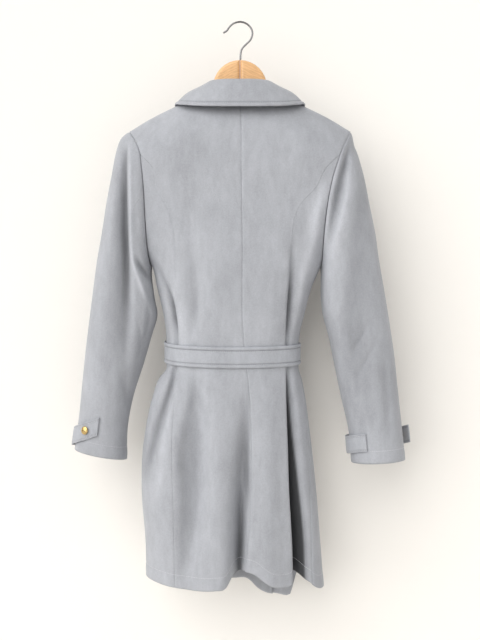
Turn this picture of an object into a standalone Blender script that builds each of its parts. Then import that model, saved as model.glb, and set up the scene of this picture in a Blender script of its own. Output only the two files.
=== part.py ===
"""Belted trench coat, hanging on a wooden hanger with a steel hook.

Lengths are in millimetres up to the point where a mesh is made. The origin is the inner top
of the hook, +Z is up, and the back of the coat faces -Y. Left and right are the wearer's.
"""

import math

import bmesh
import bpy
import numpy as np
from mathutils import Matrix, Vector

# ---------------------------------------------------------------- driving dimensions
METRES = 0.001
CLOTH = 2.0                # thickness of one cloth wall
FIRM_CLOTH = 2.4           # belt and collar, made of two layers
SEAM_GAP = 0.3             # gap between two pieces at a seam
NECK_X = 62.0              # where the shoulder seam meets the neck
NECK_DROP = 17.0           # how far the back neck dips below the shoulder neck point
SHOULDER_ROUNDING = 90.0   # height over which the shoulder opens to full depth
FULLNESS = 2.4             # exponent of the body's cross-section, 2 is an ellipse
UNDERARM_Z = -452.0
BELT_WIDTH = 38.0
BELT_STAND = 1.2           # clearance between the belt and the coat
WRAP_X = 60.0              # how far each front reaches past the middle
WRAP_CROSS_Z = -430.0      # where a front's neck edge reaches that line
WRAP_STEP = 4.8            # how far the lower front lies behind the upper one
ARMHOLE_STEPS = 10         # rows of the grid along one side of an armhole
PRINCESS_STEP = 3          # row where the princess seam leaves the armhole
STRAP_WIDTH = 33.0
BUTTON_RADIUS = 7.6
WOOD_THICKNESS = 12.0
WOOD_EDGE = 5.7            # rounding along the edges of the wood
HEAD_RADIUS = 50.0
HEAD_CENTRE_Z = -119.0
HOOK_WIRE = 3.6

# ---------------------------------------------------------------- tables, in millimetres
# Body: height, left extent, right extent, depth of the back, depth of the front
BODY = (
    (-120, -330, 330, 40, 38),
    (-200, -300, 300, 50, 46),
    (-260, -266, 262, 58, 52),
    (-320, -236, 222, 60, 58),
    (-380, -205, 188, 63, 61),
    (-420, -180, 164, 65, 62),
    (-452, -162, 149, 66, 62),
    (-490, -153, 132, 66, 62),
    (-542, -141, 118, 66, 61),
    (-580, -136, 109.5, 65, 59),
    (-600, -136, 108.4, 65, 58),
    (-625, -136, 108.4, 65, 58),
    (-640, -136.2, 108.4, 65, 58),
    (-655, -148, 113, 67, 60),
    (-690, -161, 120, 70, 60),
    (-749, -174, 128, 74, 60),
    (-808, -181, 135, 76, 58),
    (-868, -181, 141, 77, 56),
    (-957, -174, 148, 79, 53),
    (-1020, -173, 153, 80, 50),
    (-1080, -173, 160, 80, 50),
)
# Shoulder line: distance from the middle, height
SHOULDER = ((0, -126), (62, -128), (120, -155.5), (165, -178), (205, -202), (330, -262))
# Armholes: height, distance from the middle
ARMHOLE_LEFT = ((-202, 204.5), (-224, 190.4), (-246, 181), (-278, 176), (-313, 173),
                (-375, 170), (-420, 167.5), (-444, 164.4), (-452, 162))
ARMHOLE_RIGHT = ((-202, 204.5), (-238, 186.2), (-275, 171.7), (-309, 162.4), (-343, 155.9),
                 (-382, 151.6), (-408, 150.2), (-436, 149.8), (-452, 149))
# Seams of the back: height, distance from the middle plane
CENTRE_BACK = ((-140, 0), (-171, 1.8), (-265, 2.7), (-390, 4.4), (-594, 7.6), (-635, 11.9),
               (-691, 17.7), (-780, 20.7), (-867, 19.4), (-972, 10.7), (-1030, 5.4))
PRINCESS_LEFT = ((-250, -172), (-317, -152), (-350, -132), (-390, -121), (-473, -115.6),
                 (-587, -110.2), (-633, -112.7), (-745, -120.9), (-905, -118.3), (-1030, -116))
PRINCESS_RIGHT = ((-250, 172), (-312, 136.8), (-345, 106.7), (-366, 97.7), (-420, 92.4),
                  (-502, 88.7), (-587, 84), (-633, 85), (-700, 85.5), (-780, 89),
                  (-850, 92), (-950, 98), (-1030, 100))
# Side seams: height, turn from the side towards the back in degrees, left and right
SIDE_SEAM = ((-452, 0, 0), (-600, 2, 10), (-713, 4, 16.6), (-842, 6, 27), (-1013, 6, 35))
# Hem of the back and of the front: position across, height
HEM_BACK = ((-173, -1016.5), (-162, -1018), (-132, -1023), (-88, -1027), (-44, -1025),
            (-26, -1021.5), (-11.7, -1003), (0, -999.6), (12.6, -995), (28.4, -1000),
            (40.6, -1010), (56, -1019.7), (72, -1022.3), (88, -1020.6), (97, -1015),
            (106, -1003), (114, -1006), (119, -1014), (126, -1021), (135, -1028),
            (144, -1034.5), (157, -1036.6))
HEM_FRONT = ((-173, -1016.5), (-120, -1031), (-60, -1036), (-13, -1039), (18, -1043),
             (31, -1057), (46, -1066), (67, -1069), (86, -1069), (96, -1063), (105, -1038),
             (113, -1014), (126, -1019), (135, -1027), (157, -1036.6))
# Folds of the back. Each row: height, place across, depth (a ridge is negative),
# reach to the left, reach to the right
FOLDS_BACK = {
    "side_valley_left": ((-445, -153, 0, 5, 7), (-470, -144, 6, 7, 7), (-505, -129, 11, 9, 6),
                         (-546, -120, 13, 8, 4.5), (-578, -116, 9, 5, 4), (-634, -118, 6, 4, 4),
                         (-656, -122, 10, 6, 4), (-686, -129, 11, 8, 6), (-727, -143, 10, 9, 9),
                         (-767, -158, 7, 9, 11), (-815, -171, 3, 9, 12), (-850, -177, 0, 9, 12)),
    "soft_valley_left": ((-300, -94, 0, 14, 14), (-443, -83.4, 6, 14, 14),
                         (-550, -83.2, 7, 13, 13), (-590, -83.2, 2, 10, 10),
                         (-634, -82, 2, 10, 10), (-691, -75, 9, 14, 14),
                         (-760, -71, 14, 17, 15), (-815, -72, 16, 18, 15),
                         (-910, -78, 14, 18, 16), (-970, -88, 8, 18, 16),
                         (-1030, -98, 3, 18, 18)),
    "centre_valley": ((-634, 6, 0, 6, 6), (-680, 7, 1.5, 9, 7), (-720, 8, 4, 11, 7),
                      (-767, 7, 10, 13, 8), (-815, 6, 19, 14, 9), (-870, 4, 29, 15, 9),
                      (-940, 2, 36, 15, 9), (-1030, -1, 38, 15, 8)),
    "right_valley": ((-400, 97, 0, 6, 10), (-440, 95, 6, 5, 10), (-480, 93, 11, 4.5, 10),
                     (-520, 91, 14, 4.5, 9), (-560, 88.5, 12, 4, 7), (-590, 86.5, 7, 3.5, 5),
                     (-634, 88, 7, 4, 5), (-700, 91, 19, 5, 7), (-780, 95.5, 32, 6, 9),
                     (-850, 98.5, 41, 6.5, 10), (-950, 105.5, 46, 7.5, 10.5),
                     (-1030, 107.5, 46, 7.5, 10.5)),
    "ridge_right": ((-290, 165, 0, 14, 10), (-340, 150, -4, 14, 12), (-420, 130, -5, 13, 12),
                    (-514, 107, -5, 9, 12), (-575, 97, 0, 7, 10)),
    "flute_left": ((-640, -36, 0, 24, 20), (-740, -36, -4, 26, 20), (-900, -38, -6, 30, 20),
                   (-1030, -40, -6, 34, 20)),
    "flute_right": ((-640, 46, 0, 20, 20), (-740, 48, -3, 18, 20), (-900, 50, -6, 20, 22),
                    (-1030, 52, -6, 20, 24)),
}
# Folds of the front, with the same columns
FOLDS_FRONT = {
    "front_valley_left": ((-634, -96, 0, 10, 10), (-740, -104, 9, 14, 12),
                          (-900, -116, 16, 16, 13), (-1080, -120, 16, 16, 13)),
    "front_valley_middle": ((-634, -28, 0, 10, 10), (-760, -32, 8, 13, 15),
                            (-920, -36, 15, 15, 17), (-1080, -38, 15, 15, 17)),
    "front_valley_right": ((-634, 74, 0, 10, 10), (-740, 82, 10, 12, 14),
                           (-900, 94, 18, 13, 16), (-1080, 98, 18, 13, 16)),
    "chest_valley_left": ((-330, -118, 0, 12, 12), (-460, -104, 6, 13, 13),
                          (-590, -92, 2, 9, 9), (-632, -92, 0, 9, 9)),
    "chest_valley_right": ((-330, 112, 0, 12, 12), (-460, 92, 6, 13, 13),
                           (-590, 76, 2, 9, 9), (-632, 76, 0, 9, 9)),
}
# Sleeves, one row for each ring from the armhole to the cuff:
# outer edge across and height, inner edge across and height, half the depth
SLEEVE_LEFT = (
    (-204.5, -202, -162, -452, 46), (-213, -208, -162.6, -456, 50),
    (-222, -219, -163, -460, 52), (-230, -246, -163, -466, 52),
    (-238, -291, -162.7, -474, 52), (-246, -335, -161.7, -484, 51),
    (-255, -394, -159.5, -498, 50), (-263, -439, -157, -514, 49),
    (-270, -491, -153, -542, 48), (-277.5, -550, -163.5, -580, 47),
    (-285, -609, -178, -630, 46), (-292, -676, -197.5, -692, 45),
    (-298, -735, -208, -750, 44), (-305, -787, -209, -806, 44),
)
SLEEVE_RIGHT = (
    (204.5, -202, 149, -452, 46), (208, -212, 149.6, -456, 50),
    (211, -228, 150, -460, 52), (218, -247, 150, -466, 52),
    (229, -288, 149.7, -474, 52), (238, -335, 149.3, -485, 51),
    (249, -390, 149.3, -500, 50), (256, -440, 150, -515, 49),
    (265.5, -495, 153.6, -542, 48), (275, -553, 165.5, -588, 47),
    (284.5, -615, 174, -630, 46), (291.5, -680, 187, -692, 45),
    (298, -740, 200.5, -752, 44), (305, -806, 206, -812, 44),
)
# Folds of the back of a sleeve: height, place across, depth, reach left, reach right
FOLDS_SLEEVE_LEFT = {
    "elbow_valley": ((-235, -209, 0, 9, 6), (-300, -206, 5, 10, 6), (-430, -204, 7, 10, 6),
                     (-520, -201, 6, 10, 8), (-622, -201, 4, 9, 10), (-700, -204, 0, 9, 10)),
    "inner_ridge": ((-300, -194, 0, 4, 6), (-360, -193, -3, 4, 6), (-430, -190, -3, 4, 6),
                    (-470, -180, -3, 5, 6), (-500, -168, -3, 5, 5), (-520, -160, 0, 5, 5)),
    "cuff_crease": ((-640, -212, 0, 6, 10), (-690, -205, 4, 6, 12), (-740, -199, 0, 6, 12)),
}
FOLDS_SLEEVE_RIGHT = {
    "cap_valley": ((-215, 198, 0, 8, 8), (-255, 188, 4, 8, 9), (-320, 172, 3, 8, 9),
                   (-370, 160, 0, 8, 9)),
    "arm_ridge": ((-250, 203, 0, 8, 9), (-322, 191, -4, 9, 10), (-386, 173, -4, 9, 10),
                  (-440, 158, 0, 9, 10)),
    "elbow_valley": ((-400, 205, 0, 9, 9), (-500, 200, 5, 9, 10), (-600, 212, 4, 9, 10),
                     (-700, 230, 0, 9, 10)),
}
# Collar, from the middle of the back to one front end: place along, then across, depth and
# height of the roll line, and the same of the lower edge
COLLAR = (
    (0.00, 0, -34, -113.2, 0, -57, -168),
    (0.22, 28, -32, -112.8, 42, -56, -167.5),
    (0.42, 49, -22, -112.2, 82, -46, -164),
    (0.55, 57, -8, -111.8, 109, -25, -157),
    (0.64, 58.5, 4, -112.2, 120.5, -2, -151.5),
    (0.76, 56, 17, -120, 114, 26, -164),
    (0.88, 52, 30, -136, 103, 45, -187),
    (1.00, 46, 42, -156, 88, 60, -216),
)
COLLAR_SIDE = 0.6          # place along the collar where the neck point lies
COLLAR_FRONT_DROP = 50.0   # how far the collar runs down each front
# Heights of the body's rows below the underarm, down to the top of the skirt, and the
# parts of the way from there to the hem
ROWS_ABOVE_SKIRT = (-480, -512, -548, -578, -607, -637, -655)
ROWS_OF_SKIRT = (0.09, 0.19, 0.3, 0.42, 0.54, 0.66, 0.77, 0.87, 0.95, 1.0)
# Hook wire, from its free end to the wood: across, height
HOOK_ROUTE = ((-31, -18.7), (-24.5, -14.8), (-19.5, -7.6), (-11.5, -0.9), (1.3, 1.8),
              (12.4, -1.9), (20.6, -10.4), (23.1, -20.9), (18.6, -32.4), (9.8, -41),
              (3.4, -48.5), (1.2, -57), (0.6, -68.6))


# ---------------------------------------------------------------- curves and small helpers
def smooth(table, place, column=1):
    """Value of a table's column at a place, along a smooth curve through its rows."""
    rows = np.array(table, dtype=float)
    order = np.argsort(rows[:, 0])
    at, value = rows[order, 0], rows[order, column]
    slope = np.gradient(value, at)
    place = np.clip(np.asarray(place, dtype=float), at[0], at[-1])
    low = np.clip(np.searchsorted(at, place) - 1, 0, len(at) - 2)
    span = at[low + 1] - at[low]
    t = (place - at[low]) / span
    return ((2 * t**3 - 3 * t**2 + 1) * value[low] + (t**3 - 2 * t**2 + t) * span * slope[low]
            + (3 * t**2 - 2 * t**3) * value[low + 1] + (t**3 - t**2) * span * slope[low + 1])


def ease(value, start, end):
    """0 before start, 1 past end, and a smooth step between."""
    t = np.clip((value - start) / (end - start), 0.0, 1.0)
    return t * t * (3 - 2 * t)


def unit(vectors):
    length = np.linalg.norm(vectors, axis=-1, keepdims=True)
    return vectors / np.maximum(length, 1e-9)


def fold_depth(folds, across, height):
    """Sum of the folds at a place, positive where the cloth goes in."""
    total = 0.0
    for rows in folds.values():
        first, last = rows[-1][0], rows[0][0]
        centre = smooth(rows, height, 1)
        depth = smooth(rows, height, 2)
        reach = np.where(across < centre, smooth(rows, height, 3), smooth(rows, height, 4))
        inside = (height >= first) & (height <= last) | (depth * 0 + rows[-1][2] != 0)
        profile = np.exp(-((across - centre) / reach) ** 2)
        total = total + np.where(inside & (height <= last), depth, 0.0) * profile
    return total


# ---------------------------------------------------------------- the body's surface
def shoulder_height(across):
    return smooth(SHOULDER, np.abs(across))


def shoulder_rise(drop):
    """How far the cloth has opened at a drop below the shoulder line, from 0 to 1."""
    part = np.clip(drop / SHOULDER_ROUNDING, 0.0, 1.0)
    return np.sin(part * math.pi / 2) ** 0.7


def side_extents(height):
    return smooth(BODY, height, 1), smooth(BODY, height, 2)


def turn_at(across, height, facing):
    """Angle round the body of a place across it; facing is -1 on the back, 1 on the front."""
    left, right = side_extents(height)
    ratio = np.clip((across - (left + right) / 2) / ((right - left) / 2), -1, 1)
    rise = (1 - np.abs(ratio) ** FULLNESS) ** (1 / FULLNESS)
    return np.arctan2(facing * rise, ratio)


def body_point(turn, height, folded=True):
    """Point of the coat's outer face at an angle round the body and a height."""
    left, right = side_extents(height)
    middle, half = (left + right) / 2, (right - left) / 2
    cosine, sine = np.cos(turn), np.sin(turn)
    depth = np.where(sine < 0, smooth(BODY, height, 3), smooth(BODY, height, 4))
    scale = (np.abs(cosine) ** FULLNESS + np.abs(sine) ** FULLNESS) ** (-1 / FULLNESS)
    across = middle + half * scale * cosine
    open_part = shoulder_rise(shoulder_height(across) - height)
    through = depth * scale * sine * open_part
    if folded:
        back_folds = fold_depth(FOLDS_BACK, across, height)
        front_folds = fold_depth(FOLDS_FRONT, across, height)
        push = np.where(sine < 0, back_folds, front_folds) * np.abs(sine) ** 0.5 * open_part
        steep = FULLNESS - 1
        normal_x = np.sign(cosine) * np.abs(scale * cosine) ** steep / half
        normal_y = np.sign(sine) * np.abs(scale * sine) ** steep / depth
        length = np.hypot(normal_x, normal_y)
        across = across - push * normal_x / length
        through = through - push * normal_y / length
    return np.stack([across, through, height + 0 * turn], axis=-1)


def body_inward(turn, height):
    """Direction into the cloth at a point of the body, the same for every piece there."""
    step_turn, step_height = 0.01, 0.5
    round_way = body_point(turn + step_turn, height) - body_point(turn - step_turn, height)
    up_way = body_point(turn, height + step_height) - body_point(turn, height - step_height)
    normal = unit(np.cross(round_way, up_way))
    across = body_point(turn, height)[..., 0]
    slope = (shoulder_height(across + 1) - shoulder_height(across - 1)) / 2
    shoulder = unit(np.stack([-slope, 0 * slope, 1 + 0 * slope], axis=-1))
    near = shoulder_height(across) - height < 1.5
    return -np.where(near[..., None], shoulder, normal)


# ---------------------------------------------------------------- armholes and sleeves
def armhole_place(side, turn):
    """Across and height of the armhole seam; turn 0 is the shoulder, pi the underarm."""
    table = ARMHOLE_LEFT if side < 0 else ARMHOLE_RIGHT
    share = (1 - np.cos(turn)) / 2
    height = table[0][0] + (table[-1][0] - table[0][0]) * share
    return side * smooth(table, height), height


def armhole_point(side, turn):
    across, height = armhole_place(side, turn)
    facing = np.where(np.sin(turn) >= 0, -1.0, 1.0)
    return body_point(turn_at(across, height, facing), height)


def sleeve_point(side, turn, along):
    """Point of a sleeve; turn 0 is its outer edge, pi / 2 the back, along runs 0 to 1."""
    rings = SLEEVE_LEFT if side < 0 else SLEEVE_RIGHT
    folds = FOLDS_SLEEVE_LEFT if side < 0 else FOLDS_SLEEVE_RIGHT
    last = len(rings) - 1
    table = [(i / last,) + row for i, row in enumerate(rings)]

    def ring(place):
        outer_x, outer_z, inner_x, inner_z, depth = (smooth(table, place, c) for c in range(1, 6))
        return np.stack([(outer_x + inner_x) / 2 + (outer_x - inner_x) / 2 * np.cos(turn),
                         -depth * np.sin(turn),
                         (outer_z + inner_z) / 2 + (outer_z - inner_z) / 2 * np.cos(turn)],
                        axis=-1)

    keep = 1 - ease(along, 0.0, 6 / last)
    point = ring(along) + np.asarray(keep)[..., None] * (armhole_point(side, turn) - ring(0.0))
    sine = np.sin(turn)
    push = fold_depth(folds, point[..., 0], point[..., 2]) * np.clip(sine, 0, 1) ** 0.5
    push = push * ease(along, 0.0, 2 / last)
    point[..., 1] = point[..., 1] + push
    return point


def sleeve_centre(side, along):
    rings = SLEEVE_LEFT if side < 0 else SLEEVE_RIGHT
    last = len(rings) - 1
    table = [(i / last,) + row for i, row in enumerate(rings)]
    columns = [smooth(table, along, c) for c in range(1, 5)]
    middle_x, middle_z = (columns[0] + columns[2]) / 2, (columns[1] + columns[3]) / 2
    return np.stack([middle_x, 0 * middle_x, middle_z], axis=-1)


def sleeve_outward(side, turn, along):
    step = 0.01
    later, earlier = np.minimum(along + step, 1.0), np.maximum(along - step, 0.0)
    round_way = sleeve_point(side, turn + step, along) - sleeve_point(side, turn - step, along)
    down_way = sleeve_point(side, turn, later) - sleeve_point(side, turn, earlier)
    normal = unit(np.cross(round_way, down_way))
    away = sleeve_point(side, turn, along) - sleeve_centre(side, along)
    flip = np.where(np.sum(normal * away, axis=-1) < 0, -1.0, 1.0)
    return normal * flip[..., None]


def armhole_frame(side, turn):
    """Direction into the cloth where body and sleeve meet, and the way to the sleeve."""
    across, height = armhole_place(side, turn)
    facing = np.where(np.sin(turn) >= 0, -1.0, 1.0)
    body_out = -body_inward(turn_at(across, height, facing), height)
    sleeve_out = sleeve_outward(side, turn, 0.0 * turn)
    total = body_out + sleeve_out
    share = np.maximum(np.linalg.norm(total, axis=-1, keepdims=True) / 2, 0.6)
    inward = -unit(total) / share
    seam_way = armhole_point(side, turn + 0.01) - armhole_point(side, turn - 0.01)
    to_sleeve = unit(np.cross(seam_way, inward))
    flip = np.where(to_sleeve[..., 0] * side < 0, -1.0, 1.0)
    return inward, to_sleeve * flip[..., None]


# ---------------------------------------------------------------- making a wall of cloth
def add_wall(name, outer, inward, thickness, material, ring=False):
    """One closed solid from a grid of outer points and the way into the cloth at each."""
    rows, columns = outer.shape[:2]
    inner = outer + inward * thickness
    mesh = bmesh.new()
    faces = []
    grids = []
    for layer in (outer, inner):
        grids.append([[mesh.verts.new(Vector(point) * METRES) for point in row]
                      for row in layer.tolist()])
    around = columns if ring else columns - 1
    for i in range(rows - 1):
        for j in range(around):
            k = (j + 1) % columns
            for grid in grids:
                corners = (grid[i][j], grid[i + 1][j], grid[i + 1][k], grid[i][k])
                faces.append((corners[0], corners[1], corners[2]))
                faces.append((corners[0], corners[2], corners[3]))
    rims = [[(i, j) for j in range(around + 1)] for i in (0, rows - 1)]
    if not ring:
        rims += [[(i, j) for i in range(rows)] for j in (0, columns - 1)]
    for rim in rims:
        for (i, j), (m, n) in zip(rim, rim[1:]):
            j, n = j % columns, n % columns
            corners = (grids[0][i][j], grids[0][m][n], grids[1][m][n], grids[1][i][j])
            faces.append((corners[0], corners[1], corners[2]))
            faces.append((corners[0], corners[2], corners[3]))
    for corners in faces:
        mesh.faces.new(corners)
    bmesh.ops.remove_doubles(mesh, verts=mesh.verts[:], dist=1e-5)
    bmesh.ops.recalc_face_normals(mesh, faces=mesh.faces[:])
    return add_object(name, mesh, material)


def add_object(name, mesh, material):
    data = bpy.data.meshes.new(name)
    mesh.to_mesh(data)
    mesh.free()
    data.materials.append(material)
    data.shade_smooth()
    data.set_sharp_from_angle(angle=math.radians(50))
    made = bpy.data.objects.new(name, data)
    collection.objects.link(made)
    return made


def close_edges(points, left=True, right=True, top=True):
    """Moves the chosen edges of a grid in by half a seam gap."""
    moved = points.copy()
    half = SEAM_GAP / 2
    if left:
        moved[:, 0] += half * unit(points[:, 1] - points[:, 0])
    if right:
        moved[:, -1] += half * unit(points[:, -2] - points[:, -1])
    if top:
        moved[0] += half * unit(points[1] - points[0])
    return moved


# ---------------------------------------------------------------- body panels
def row_height(row, across, facing):
    """Height of a row below the underarm at a place across the back or the front."""
    if row < len(ROWS_ABOVE_SKIRT):
        return ROWS_ABOVE_SKIRT[row] + 0 * across
    top = ROWS_ABOVE_SKIRT[-1]
    part = ROWS_OF_SKIRT[row - len(ROWS_ABOVE_SKIRT)]
    hem = np.where(np.asarray(facing) < 0, smooth(HEM_BACK, across), smooth(HEM_FRONT, across))
    return top + (hem - top) * part


def seam_place(seam, row):
    """Angle and height of a back seam or, for -1 and 1, of a side seam at a row."""
    height = -700.0
    for _ in range(5):
        if isinstance(seam, int):
            turn = float(side_seam_turn(seam, height))
            across = float(body_point(np.array(turn), height, False)[0])
        else:
            across = float(smooth(seam, height))
        height = float(row_height(row, across, -1))
    if not isinstance(seam, int):
        turn = float(turn_at(across, height, -1))
    return turn, height


def side_seam_turn(side, height):
    """Angle of a side seam, from 0 at the right side to pi at the left."""
    back = np.radians(smooth(SIDE_SEAM, height, 1 if side < 0 else 2))
    return -math.pi + back if side < 0 else -back


def row_of_points(turn, row):
    """Heights along a row at the given angles round the body."""
    level = float(row_height(row, 0.0, -1))
    across = body_point(turn, np.full(len(turn), level), False)[:, 0]
    return row_height(row, across, np.sin(turn))


LOWER_ROWS = len(ROWS_ABOVE_SKIRT) + len(ROWS_OF_SKIRT)


def lower_rows(first_seam, last_seam, shares):
    """Angle and height of each grid point of a back panel below the underarm.

    A seam is a table, or -1 or 1 for a side seam; shares are the places of the columns
    between the two.
    """
    turns, heights = [], []
    for row in range(LOWER_ROWS):
        first, last = seam_place(first_seam, row), seam_place(last_seam, row)
        turn = first[0] + (last[0] - first[0]) * np.array(shares)
        height = row_of_points(turn, row)
        height[0], height[-1] = first[1], last[1]
        turns.append(turn)
        heights.append(height)
    return turns, heights


def upper_rows(first_edge, last_edge, top_edge, shares, facing):
    """Angle and height of each grid point above the underarm by blending the four edges.

    first_edge and last_edge are (across, height) for each row; top_edge for each column.
    """
    first, last, top = (np.array(edge, dtype=float) for edge in (first_edge, last_edge, top_edge))
    u = np.array(shares)[None, :, None]
    rows = len(first)
    v = (first[:, 1] - first[0, 1]) / (first[-1, 1] - first[0, 1]) if rows > 1 else [0]
    v = np.linspace(0, 1, rows) * 0.3 + 0.7 * np.array(v)
    v = v[:, None, None]
    bottom = first[-1] * (1 - u[0]) + last[-1] * u[0]
    place = ((1 - u) * first[:, None] + u * last[:, None] + (1 - v) * top[None] + v * bottom[None]
             - (1 - v) * ((1 - u) * first[0] + u * last[0]) - v * bottom[None])
    across, height = place[..., 0], place[..., 1]
    height = np.minimum(height, shoulder_height(across))
    return list(turn_at(across, height, facing)), list(height)


def armhole_turn(step):
    return math.pi * step / ARMHOLE_STEPS


def armhole_row(side, step):
    across, height = armhole_place(side, armhole_turn(step))
    return float(across), float(height)


def panel_grid(turns, heights, lower_layer=False):
    """Outer points of a panel and the directions into its cloth."""
    turn, height = np.array(turns), np.array(heights)
    outer = body_point(turn, height)
    inward = body_inward(turn, height)
    if lower_layer:
        lap = ease(outer[..., 0], -100.0, -70.0) * ease(-outer[..., 2], 200.0, 250.0)
        outer = outer + inward * (WRAP_STEP * lap)[..., None]
    return outer, inward


def join_armhole(inward, side, steps, column, facing):
    """Sets the direction into the cloth along the rows that lie on the armhole."""
    for row, step in enumerate(steps):
        turn = armhole_turn(step)
        if facing > 0:
            turn = 2 * math.pi - turn
        way, _ = armhole_frame(side, np.array(turn))
        inward[row, column] = way


def back_panel(side, material):
    """Middle panel of one side, from the centre-back seam to armhole and princess seam."""
    princess = PRINCESS_LEFT if side < 0 else PRINCESS_RIGHT
    shares = BACK_SHARES[side]
    start = armhole_row(side, PRINCESS_STEP)
    outer_edge = [armhole_row(side, step) for step in range(PRINCESS_STEP + 1)]
    for step in range(PRINCESS_STEP + 1, ARMHOLE_STEPS + 1):
        height = armhole_row(side, step)[1]
        leave = ease(-height, -start[1], -start[1] + 60)
        across = smooth(princess, height)
        start_x = start[0] - side * (start[1] - height) * 1.1
        outer_edge.append((float(start_x + (across - start_x) * leave), height))
    neck_middle = -126.0 - 2.0 - NECK_DROP
    middle_edge = []
    for _, height in outer_edge:
        part = (height - outer_edge[0][1]) / (UNDERARM_Z - outer_edge[0][1])
        z = neck_middle + (UNDERARM_Z - neck_middle) * part
        middle_edge.append((float(smooth(CENTRE_BACK, z)), z))
    top_edge = []
    for share in shares:
        x = outer_edge[0][0] * (1 - share)
        if abs(x) >= NECK_X:
            top_edge.append((x, float(shoulder_height(x))))
        else:
            top_edge.append((x, neck_middle + NECK_DROP * (x / NECK_X) ** 2))
    turns, heights = upper_rows(outer_edge, middle_edge, top_edge, shares, -1)
    below = lower_rows(princess, CENTRE_BACK, shares)
    turns, heights = turns + below[0], heights + below[1]
    outer, inward = panel_grid(turns, heights)
    join_armhole(inward, side, range(PRINCESS_STEP + 1), 0, -1)
    outer = close_edges(outer)
    name = "back_left" if side < 0 else "back_right"
    return add_wall(name, outer, inward, CLOTH, material), outer_edge[PRINCESS_STEP:]


def side_back_panel(side, princess_top, material):
    """Panel between the princess seam and the armhole, then the side seam."""
    princess = PRINCESS_LEFT if side < 0 else PRINCESS_RIGHT
    shares = SIDE_SHARES[side]
    steps = range(PRINCESS_STEP, ARMHOLE_STEPS + 1)
    turns, heights = [], []
    for step, inner in zip(steps, princess_top):
        edge = armhole_row(side, step)
        across = np.array([edge[0] + (inner[0] - edge[0]) * share for share in shares])
        height = np.array([edge[1] + (inner[1] - edge[1]) * share for share in shares])
        turns.append(turn_at(across, height, -1))
        heights.append(height)
    if side < 0:
        turns[-1][0] = -math.pi
    below = lower_rows(side, princess, shares)
    outer, inward = panel_grid(turns + below[0], heights + below[1])
    join_armhole(inward, side, steps, 0, -1)
    tip = outer[0, 0] + 0.8 * unit(outer[1].mean(axis=0) - outer[0, 0])
    outer = close_edges(outer, top=False)
    outer[0] = tip
    inward[0] = inward[0, 0]
    name = "side_back_left" if side < 0 else "side_back_right"
    return add_wall(name, outer, inward, CLOTH, material)


def front_edge_place(side, height):
    """Front edge of one front: down the neck in a slant, then straight past the middle."""
    start = float(shoulder_height(NECK_X))
    part = np.clip((start - height) / (start - WRAP_CROSS_Z), 0, 1)
    return side * (NECK_X - (NECK_X + WRAP_X) * part)


def front_columns(side, seam_turn, height):
    """Angles of a front's columns at a height: even up to the wrap, then at fixed places
    across, the same on both fronts, so that they lie parallel."""
    if side < 0:
        seam_turn += 2 * math.pi
    lap = turn_at(side * np.linspace(WRAP_X, -WRAP_X, 9), np.full(9, height), 1)
    return np.concatenate([np.linspace(seam_turn, lap[0], 7)[:-1], lap])


def front_lower_rows(side):
    turns, heights = [], []
    for row in range(LOWER_ROWS):
        seam_turn, seam_height = seam_place(side, row)
        turn = front_columns(side, seam_turn, float(row_height(row, 0.0, 1)))
        height = row_of_points(turn, row)
        height[0] = seam_height
        turns.append(turn)
        heights.append(height)
    return turns, heights


def front_panel(side, material):
    """One front, from the armhole and side seam to its edge past the middle."""
    columns = front_columns(side, float(side_seam_turn(side, UNDERARM_Z)), UNDERARM_Z)
    across = body_point(columns, np.full(len(columns), UNDERARM_Z), False)[:, 0]
    shares = (across - across[0]) / (across[-1] - across[0])
    outer_edge = [armhole_row(side, step) for step in range(ARMHOLE_STEPS + 1)]
    neck = (side * NECK_X, float(shoulder_height(NECK_X)))
    inner_edge = []
    for _, height in outer_edge:
        part = (height - outer_edge[0][1]) / (UNDERARM_Z - outer_edge[0][1])
        z = neck[1] + (UNDERARM_Z - neck[1]) * part
        inner_edge.append((float(front_edge_place(side, z)), z))
    top_edge = []
    for share in shares:
        x = outer_edge[0][0] + (neck[0] - outer_edge[0][0]) * share
        top_edge.append((x, float(shoulder_height(x))))
    turns, heights = upper_rows(outer_edge, inner_edge, top_edge, shares, 1)
    if side < 0:
        turns = [np.where(turn < 0, turn + 2 * math.pi, turn) for turn in turns]
    below = front_lower_rows(side)
    turns, heights = turns + below[0], heights + below[1]
    outer, inward = panel_grid(turns, heights, lower_layer=side < 0)
    join_armhole(inward, side, range(ARMHOLE_STEPS + 1), 0, 1)
    outer = close_edges(outer, right=False)
    name = "front_left" if side < 0 else "front_right"
    return add_wall(name, outer, inward, CLOTH, material)


# ---------------------------------------------------------------- sleeves
def sleeve_panels(side, material):
    """Upper sleeve on the outside of the arm and under sleeve on its inside."""
    word = "left" if side < 0 else "right"
    last = len(SLEEVE_LEFT) - 1
    along = np.array([0, 0.35, 1, 1.7, 2.5, 3.3, 4.2, 5.1, 6, 7, 7.6, 8.2, 8.9, 9.7, 10.6,
                      11.5, 12.3, 13]) / last
    half = ARMHOLE_STEPS // 2
    spans = {"sleeve_upper_": range(-half, half + 1), "sleeve_under_": range(half, 3 * half + 1)}
    for start, steps in spans.items():
        turn = np.array([armhole_turn(step) for step in steps])
        turn, place = np.meshgrid(turn, along)
        outer = sleeve_point(side, turn, place)
        inward = -sleeve_outward(side, turn, place)
        way, to_sleeve = armhole_frame(side, turn[0])
        inward[0] = way
        outer = close_edges(outer, top=False)
        outer[0] += SEAM_GAP / 2 * to_sleeve
        add_wall(start + word, outer, inward, CLOTH, material)


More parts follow.
